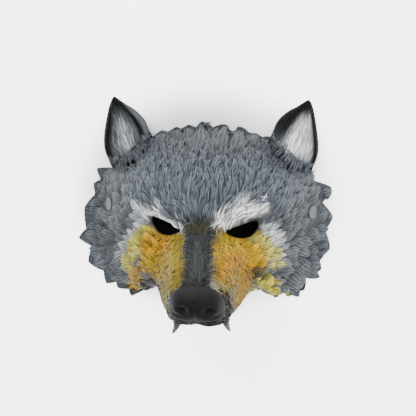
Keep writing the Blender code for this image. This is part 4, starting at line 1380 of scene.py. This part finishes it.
def ear_patch(side, face, columns=61, rows=90):
    """The front of a cupped ear as a patch, with the line of its back root."""
    name = "left" if side < 0 else "right"
    places = side * np.linspace(*EAR_SEATS[name], columns)
    rim = face.read(face.skin, np.ones(columns), places)
    rim[:, 2] = RIM_WALL
    away = away_from_face(rim)
    front_root = rim + away * (rim_reach(places) + SEAT_GAP)[:, None]
    back_root = front_root - away * RIM_WALL / 2
    back_root[:, 2] = 0
    seat_y = (front_root[0, 1] + front_root[-1, 1]) / 2
    lean = EAR_LEAN[name]
    inner_edge = ear_line(front_root[0], EAR_INNER_EDGE, EAR_TIP, seat_y, side, lean)
    outer_edge = ear_line(front_root[-1], EAR_OUTER_EDGE, EAR_TIP, seat_y, side, lean)
    across = np.linspace(0, 1, columns)
    up = np.linspace(0, 1, rows)
    starts, ends = inner_edge(up), outer_edge(up)
    front = starts[:, None] + (ends - starts)[:, None] * across[None, :, None]
    sag = front_root - (front_root[0] + (front_root[-1] - front_root[0]) * across[:, None])
    front += sag[None] * ((1 - up) ** 2)[:, None, None]
    deep = eased(up / (1.3 * EAR_CUP_END)) * eased((1 - up) / (1.6 * EAR_CUP_END))
    roll = EAR_ROLL * np.exp(-(((across - 0.07) / 0.07) ** 2)) * np.sin(np.pi * up)[:, None]
    front[:, :, 2] += roll - EAR_CUP * deep[:, None] * np.sin(np.pi * across) ** 0.8
    facing = outward_normals(front[:, ::side])[:, ::side]
    front[-1] = front[-1].mean(axis=0)
    grid_up, grid_across = np.meshgrid(up, across, indexing="ij")
    length = np.linalg.norm(front[-1, 0] - front[0, 0])
    hair = np.stack([grid_across * EAR_BREADTH, grid_up * length, 0 * grid_up], -1)
    return Patch(front, facing, hair), back_root, length


def make_ear(name, side, patch, back_root):
    """The ear's shell: the painted cup in front, and its back."""
    front, facing = patch.skin, patch.normal
    rows, columns = front.shape[:2]
    across = np.linspace(0, 1, columns)
    up = np.linspace(0, 1, rows)
    grid_up, grid_across = np.meshgrid(up, across, indexing="ij")
    thickness = EAR_EDGE + (EAR_WALL - EAR_EDGE) * np.outer(1 - up, np.sin(np.pi * across))
    back = front - facing * thickness[:, :, None]
    back[:, :, 2] = np.maximum(back[:, :, 2], SEAT_GAP)
    back[0] = back_root
    back[-1] = back[-1].mean(axis=0)
    ear = add_sheet(name, front, back, FOAM)
    mesh = ear.data
    back_tone = coat(linear("#5d6367"), "#1f201e", share_between((0.45, 0.85), grid_up.ravel()))
    colour = ear_spray(side, grid_across, grid_up).reshape(-1, 3)
    write_attribute(mesh, "spray", np.concatenate([colour, back_tone]), "FLOAT_COLOR")
    write_attribute(mesh, "ridge", np.full(2 * rows * columns, 0.45), "FLOAT")
    hair = patch.hair.reshape(-1, 3)
    write_attribute(mesh, "hair", np.concatenate([hair, hair + 0.1]), "FLOAT_VECTOR")
    weld(mesh)
    return ear


def in_ear(side):
    """The part of an ear's cup that has hair moulded in it."""
    def region(out, along, points):
        across = (along + 1) / 2
        low, high = (0.26, 0.86) if side < 0 else (0.30, 0.88)
        end = 0.78 - 0.25 * (across < 0.4)
        return (across > low) & (across < high) & (out > 0.02) & (out < end)
    return region


def at_ear_base(out, along, points):
    return (out < 0.07) & (np.abs(along) < 0.97)


def comb_ear(side):
    """Ear hair fans from the seat's middle to the outer edge."""
    def comb(out, along, points, flow, facing):
        turn = (0.10 * along * side)[:, None]
        return flow * np.cos(turn) - np.cross(facing, flow) * np.sin(turn)
    return comb


def comb_ear_hair(name, side, patch, length):
    """Hair of an ear, laid on its cup, with a fringe of locks across its seat."""
    guide = guide_from("ear_guide", patch.skin, patch.normal, patch.hair)
    grown = []
    for kind, region, templates, step, gap, values in (
        ("hair", in_ear(side), wisp, 0.0016, 0.0085,
         dict(length=0.0170, width=0.0021, rise=0.0009, turn=0.10, uneven=0.3)),
        ("fringe", at_ear_base, clump, 0.0030, 0.0050,
         dict(length=0.0125, width=0.0048, rise=0.0022, turn=0.3, uneven=0.3)),
    ):
        seeds = scatter(patch, region, step, gap, comb_ear(side), 30000, 21)
        piece = lay_locks(f"{name}_{kind}", seeds, templates, guide, tree, **values)
        mesh = piece.data
        hair = read_attribute(mesh, "hair", 3)
        luck = read_attribute(mesh, "shade")[:, None]
        tone = ear_spray(side, hair[:, 0] / EAR_BREADTH, hair[:, 1] / length)
        if kind == "fringe":
            tone = coat(tone, BASE_GREY, share_between((0.020, 0.004), hair[:, 1]))
        write_attribute(mesh, "spray", tone * (1 + 0.45 * luck), "FLOAT_COLOR")
        drop_working_layers(mesh)
        grown.append(piece)
    bpy.data.objects.remove(guide)
    return grown


# ---------------------------------------------------------------- nose, teeth and studs

def make_nose(face, rows=44, columns=141):
    """The nose leather: a pad over the muzzle's end with two curled nostrils and the groove
    between them."""
    out = np.linspace(0, NOSE_OUT, rows)
    along = np.linspace(-NOSE_ALONG, NOSE_ALONG, columns)
    grid_out, grid_along = np.meshgrid(out, along, indexing="ij")
    normal = face.read(face.normal, grid_out, grid_along)
    rim = np.clip((1 - (grid_out / NOSE_OUT) ** 3) * (1 - (grid_along / NOSE_ALONG) ** 4), 0, 1)
    height = NOSE_EDGE + (NOSE_THICKNESS - NOSE_EDGE) * np.sqrt(rim)
    beside = np.abs(grid_along)
    nostril = soft_spot(grid_out, beside, (0.100, 0.42), (0.036, 0.070))
    comma = soft_spot(grid_out, beside, (0.150, 0.53), (0.045, 0.035))
    wing = soft_spot(grid_out, beside, (0.150, 0.36), (0.050, 0.10))
    height += WING_HEIGHT * wing - NOSTRIL_DEPTH * nostril - COMMA_DEPTH * comma
    under = face.read(face.skin, grid_out, grid_along) + normal * SEAT_GAP
    top = under + normal * height[:, :, None]
    middle = np.exp(-((top[:, :, 0] / GROOVE_HALF_WIDTH) ** 2))
    middle *= share_between(GROOVE_FADE, top[:, :, 1])
    top -= normal * (GROOVE_DEPTH * middle)[:, :, None]
    nose = add_sheet("nose_leather", top, under, NOSE_PAINT, halves_meet=True)
    # painted light: the top of the nose is lighter; painted shade: the nostrils and their curls
    # are darker
    bridge_painted_light = 0.5 * share_between(BRIDGE_PAINTED_LIGHT_FADE, top[:, :, 1])
    tone = coat(linear("#060706"), "#101110", bridge_painted_light)
    tone = coat(tone, "#020202", 1.4 * nostril + comma).reshape(-1, 3)
    write_attribute(nose.data, "spray", np.concatenate([tone, tone]), "FLOAT_COLOR")
    weld(nose.data)
    return nose


def add_tube(name, vertices, rings, sides, paint):
    """A closed body of rings, whose first two vertices are its ends."""
    faces = []
    last = 2 + (rings - 1) * sides
    for k in range(sides):
        after = (k + 1) % sides
        faces.append([0, 2 + k, 2 + after])
        faces.append([1, last + after, last + k])
        for ring in range(rings - 1):
            first = 2 + ring * sides
            faces.append([first + k, first + sides + k, first + sides + after, first + after])
    tube = add_mesh(name, np.array(vertices) + TO_ROW, faces, paint)
    weld(tube.data)
    return tube


def make_fang(name, side, face, sides=20, rings=14):
    """A curved fang under the lip, thick at its root, with a fine tip."""
    out, along = FANG_SEATS[name]
    centre = face.spot(face.skin, out, side * along)
    ahead = unit(face.spot(face.skin, out + 0.004, side * along) - centre)
    normal = face.spot(face.normal, out, side * along)
    over = np.cross(normal, ahead)
    root = centre + normal * ROOT_LIFT
    down = np.array((0.12 * side, -1.0, 0.05))
    bend = np.array([side * FANG_BEND, 0, 0])
    vertices = [root, root + down * FANG_LENGTH + bend]
    for share in np.linspace(0, FANG_TIP_SHARE, rings):
        middle = root + down * FANG_LENGTH * share + bend * share**2
        radius = FANG_RADIUS * (1 - share) ** 0.5 * (1 + 0.12 * np.exp(-((share / 0.1) ** 2)))
        for k in range(sides):
            turn = 2 * np.pi * k / sides
            fluted = radius * (1 + 0.04 * np.cos(5 * turn))
            vertices.append(middle + (ahead * np.cos(turn) + over * np.sin(turn)) * fluted)
    fang = add_tube(f"fang_{name}_detail", vertices, rings, sides, IVORY)
    fallen = np.clip((root[1] + TO_ROW[1] - points_of(fang.data)[:, 1]) / FANG_LENGTH, 0, 1)
    tone = coat(linear("#1d1f1d"), "#555852", eased(fallen / 0.6))
    write_attribute(fang.data, "spray", tone, "FLOAT_COLOR")
    return fang


def make_tooth_row(name, side, face):
    """A gum under the lip with a row of small pointed teeth."""
    outs = np.linspace(*TOOTH_ROW_SPAN, TOOTH_STEPS * TEETH_IN_A_ROW + 1)
    alongs = side * np.linspace(*TOOTH_ROW_ALONG, 17)
    normal = face.read_sheet(face.normal, outs, alongs)
    under = face.read_sheet(face.skin, outs, alongs) + normal * ROOT_LIFT
    v = np.linspace(0, 1, len(alongs))[None, :]
    place = (np.arange(len(outs)) / TOOTH_STEPS)[:, None]
    peak = (1 - np.abs(2 * (place % 1) - 1)) ** 0.9
    tall = 0.75 + 0.25 * np.sin(place * 1.3 + 1)
    ridge = np.clip(1 - np.abs(2 * v - 1) / 0.55, 0, 1) ** 0.8
    gum = GUM_HEIGHT * np.sqrt(np.sin(np.pi * np.clip(v, 0.02, 0.98)))
    gum = np.maximum(gum * np.ones_like(place), GUM_HEIGHT / 2)
    height = gum + TOOTH_HEIGHT * 0.78 * peak * ridge * tall
    top = under + normal * height[:, :, None]
    teeth = add_sheet(f"side_teeth_{name}", top, under, IVORY)
    high = np.clip(height / TOOTH_TONE_HEIGHT, 0, 1).ravel()
    tone = coat(linear("#53504a"), "#d8d5c6", eased(high * 1.4))
    write_attribute(teeth.data, "spray", np.concatenate([tone, tone]), "FLOAT_COLOR")
    weld(teeth.data)
    return teeth


def make_stud(name, side, face, sides=48):
    """A flat round strap stud in its spot face, with a rounded edge and a back washer."""
    out, along = STUD_SEAT[0], side * STUD_SEAT[1]
    normal = face.spot(face.normal, out, along)
    centre = face.spot(face.skin, out, along)
    across = unit(np.cross(normal, (0, 1, 0)))
    up = np.cross(normal, across)
    profile = [(STUD_RADIUS * 0.5, STUD_TOP + 0.0001)]
    for turn in np.linspace(0, np.pi / 2, 7):
        profile.append((STUD_RADIUS - STUD_ROUND * (1 - np.sin(turn)),
                        STUD_TOP - STUD_ROUND * (1 - np.cos(turn))))
    profile += [(STUD_RADIUS, STUD_HEAD), (STEM_RADIUS, STUD_HEAD), (STEM_RADIUS, WASHER_TOP),
                (WASHER_RADIUS, WASHER_TOP), (WASHER_RADIUS, WASHER_FOOT)]
    vertices = [centre + normal * (STUD_TOP + 0.00015), centre + normal * WASHER_FOOT]
    for radius, height in profile:
        for k in range(sides):
            turn = 2 * np.pi * k / sides
            vertices.append(centre + normal * height
                            + (across * np.cos(turn) + up * np.sin(turn)) * radius)
    stud = add_tube(f"strap_stud_{name}_detail", vertices, len(profile), sides, STUD_PAINT)
    away = points_of(stud.data) - (centre + TO_ROW)
    radius = np.linalg.norm(away - (away @ normal)[:, None] * normal, axis=1)
    edge = share_between((STUD_RADIUS * 0.93, STUD_RADIUS), radius)
    tone = coat(linear("#42464a"), "#1c1e20", edge)
    write_attribute(stud.data, "spray", tone, "FLOAT_COLOR")
    return stud


pieces = []


def finish_piece(piece, slot, *nodes):
    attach(piece, "root")
    if nodes:
        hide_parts(*nodes)
    pieces.append(piece)


finish_piece(skin, "grey_foam_paint", "foam_shell")
for piece in locks:
    finish_piece(piece, "grey_foam_paint")
finish_piece(make_nose(face), "black_nose_paint", "nose_pad")
for name, side in SIDES.items():
    patch, back_root, length = ear_patch(side, face)
    ear = make_ear(f"ear_{name}_cup", side, patch, back_root)
    finish_piece(ear, "dark_ear_paint", f"ear_{name}")
    for hair in comb_ear_hair(f"ear_{name}", side, patch, length):
        finish_piece(hair, "dark_ear_paint")
    finish_piece(make_fang(name, side, face), "ivory_tooth_paint", f"fang_{name}")
    finish_piece(make_tooth_row(name, side, face), "ivory_tooth_paint", f"tooth_row_{name}")
    finish_piece(make_stud(name, side, face), "grey_stud_plastic", f"strap_stud_{name}")


for spare in (guide, *fine, *wisp, *clump, *leaf, *broad):
    bpy.data.objects.remove(spare)


# ---------------------------------------------------------------- floor, light and camera

FLOOR_SIZE = 6
SHADE_CARD_RADII = np.array([0.062, 0.023, 0])
SHADE_CARD_CENTRE = np.array([-0.006, -0.025, 0.0004])
MASK_MIDDLE = (0, 0, 0.03)


def make_floor():
    """A white board that glows round the mask, and on it, inside the mask, a black card: painted
    shade that keeps the eye holes dark.
    """
    bpy.ops.mesh.primitive_plane_add(size=FLOOR_SIZE, location=(0, 0, 0))
    floor = bpy.context.object
    floor.name = "floor"
    floor.data.materials.append(glowing_floor_paint())
    turns = np.linspace(0, 2 * np.pi, 48, endpoint=False)
    ring = np.stack([np.cos(turns), np.sin(turns), 0 * turns], axis=1)
    ring = ring * SHADE_CARD_RADII + SHADE_CARD_CENTRE + TO_ROW
    # painted shade: a black sheet under the mask, where only shade falls through the eye holes
    card = add_mesh("black_card", ring, [range(len(ring))], shade_card_paper())


def add_softbox(name, place, size, power):
    """A square soft light that faces the mask."""
    light = bpy.data.lights.new(name, "AREA")
    light.shape = "SQUARE"
    light.size = size
    light.energy = power
    lamp = put_in_scene(name, light)
    lamp.location = place
    lamp.rotation_euler = (
        (Vector(MASK_MIDDLE) - Vector(place)).to_track_quat("-Z", "Y").to_euler()
    )


def set_camera():
    """The photograph's view: from in front, a little from the side of the ears."""
    focal_pixels, distance, image_width, sensor_width = 934.0, 0.900, 416, 36
    yaw, pitch, roll = (math.radians(a) for a in (5.0, 12.0, 1.3))
    aim = Vector((TO_ROW[0], TO_ROW[1], 0.040))
    level = math.cos(pitch)
    back = Vector((math.sin(yaw) * level, math.sin(pitch), math.cos(yaw) * level))
    right = Vector((0, 1, 0)).cross(back).normalized()
    up = back.cross(right)
    c, s = math.cos(roll), math.sin(roll)
    columns = (right * c + up * s, up * c - right * s, back)
    data = bpy.data.cameras.new("photo_view")
    data.sensor_fit = "HORIZONTAL"
    data.sensor_width = sensor_width
    data.lens = focal_pixels / image_width * sensor_width
    data.clip_start = 0.01
    camera = put_in_scene("photo_view", data)
    camera.matrix_world = (
        Matrix.Translation(aim + back * distance) @ Matrix(columns).transposed().to_4x4()
    )
    bpy.context.scene.camera = camera


make_floor()
add_softbox("key", (-0.35, 0.8, 1.2), 0.8, 30)
add_softbox("fill", (0.8, -0.3, 1.2), 0.9, 12)
world = bpy.data.worlds.new("studio")
world.use_nodes = True
sky = world.node_tree.nodes["Background"]
sky.inputs["Color"].default_value = (1, 1, 1, 1)
sky.inputs["Strength"].default_value = 0.50
bpy.context.scene.world = world
set_camera()
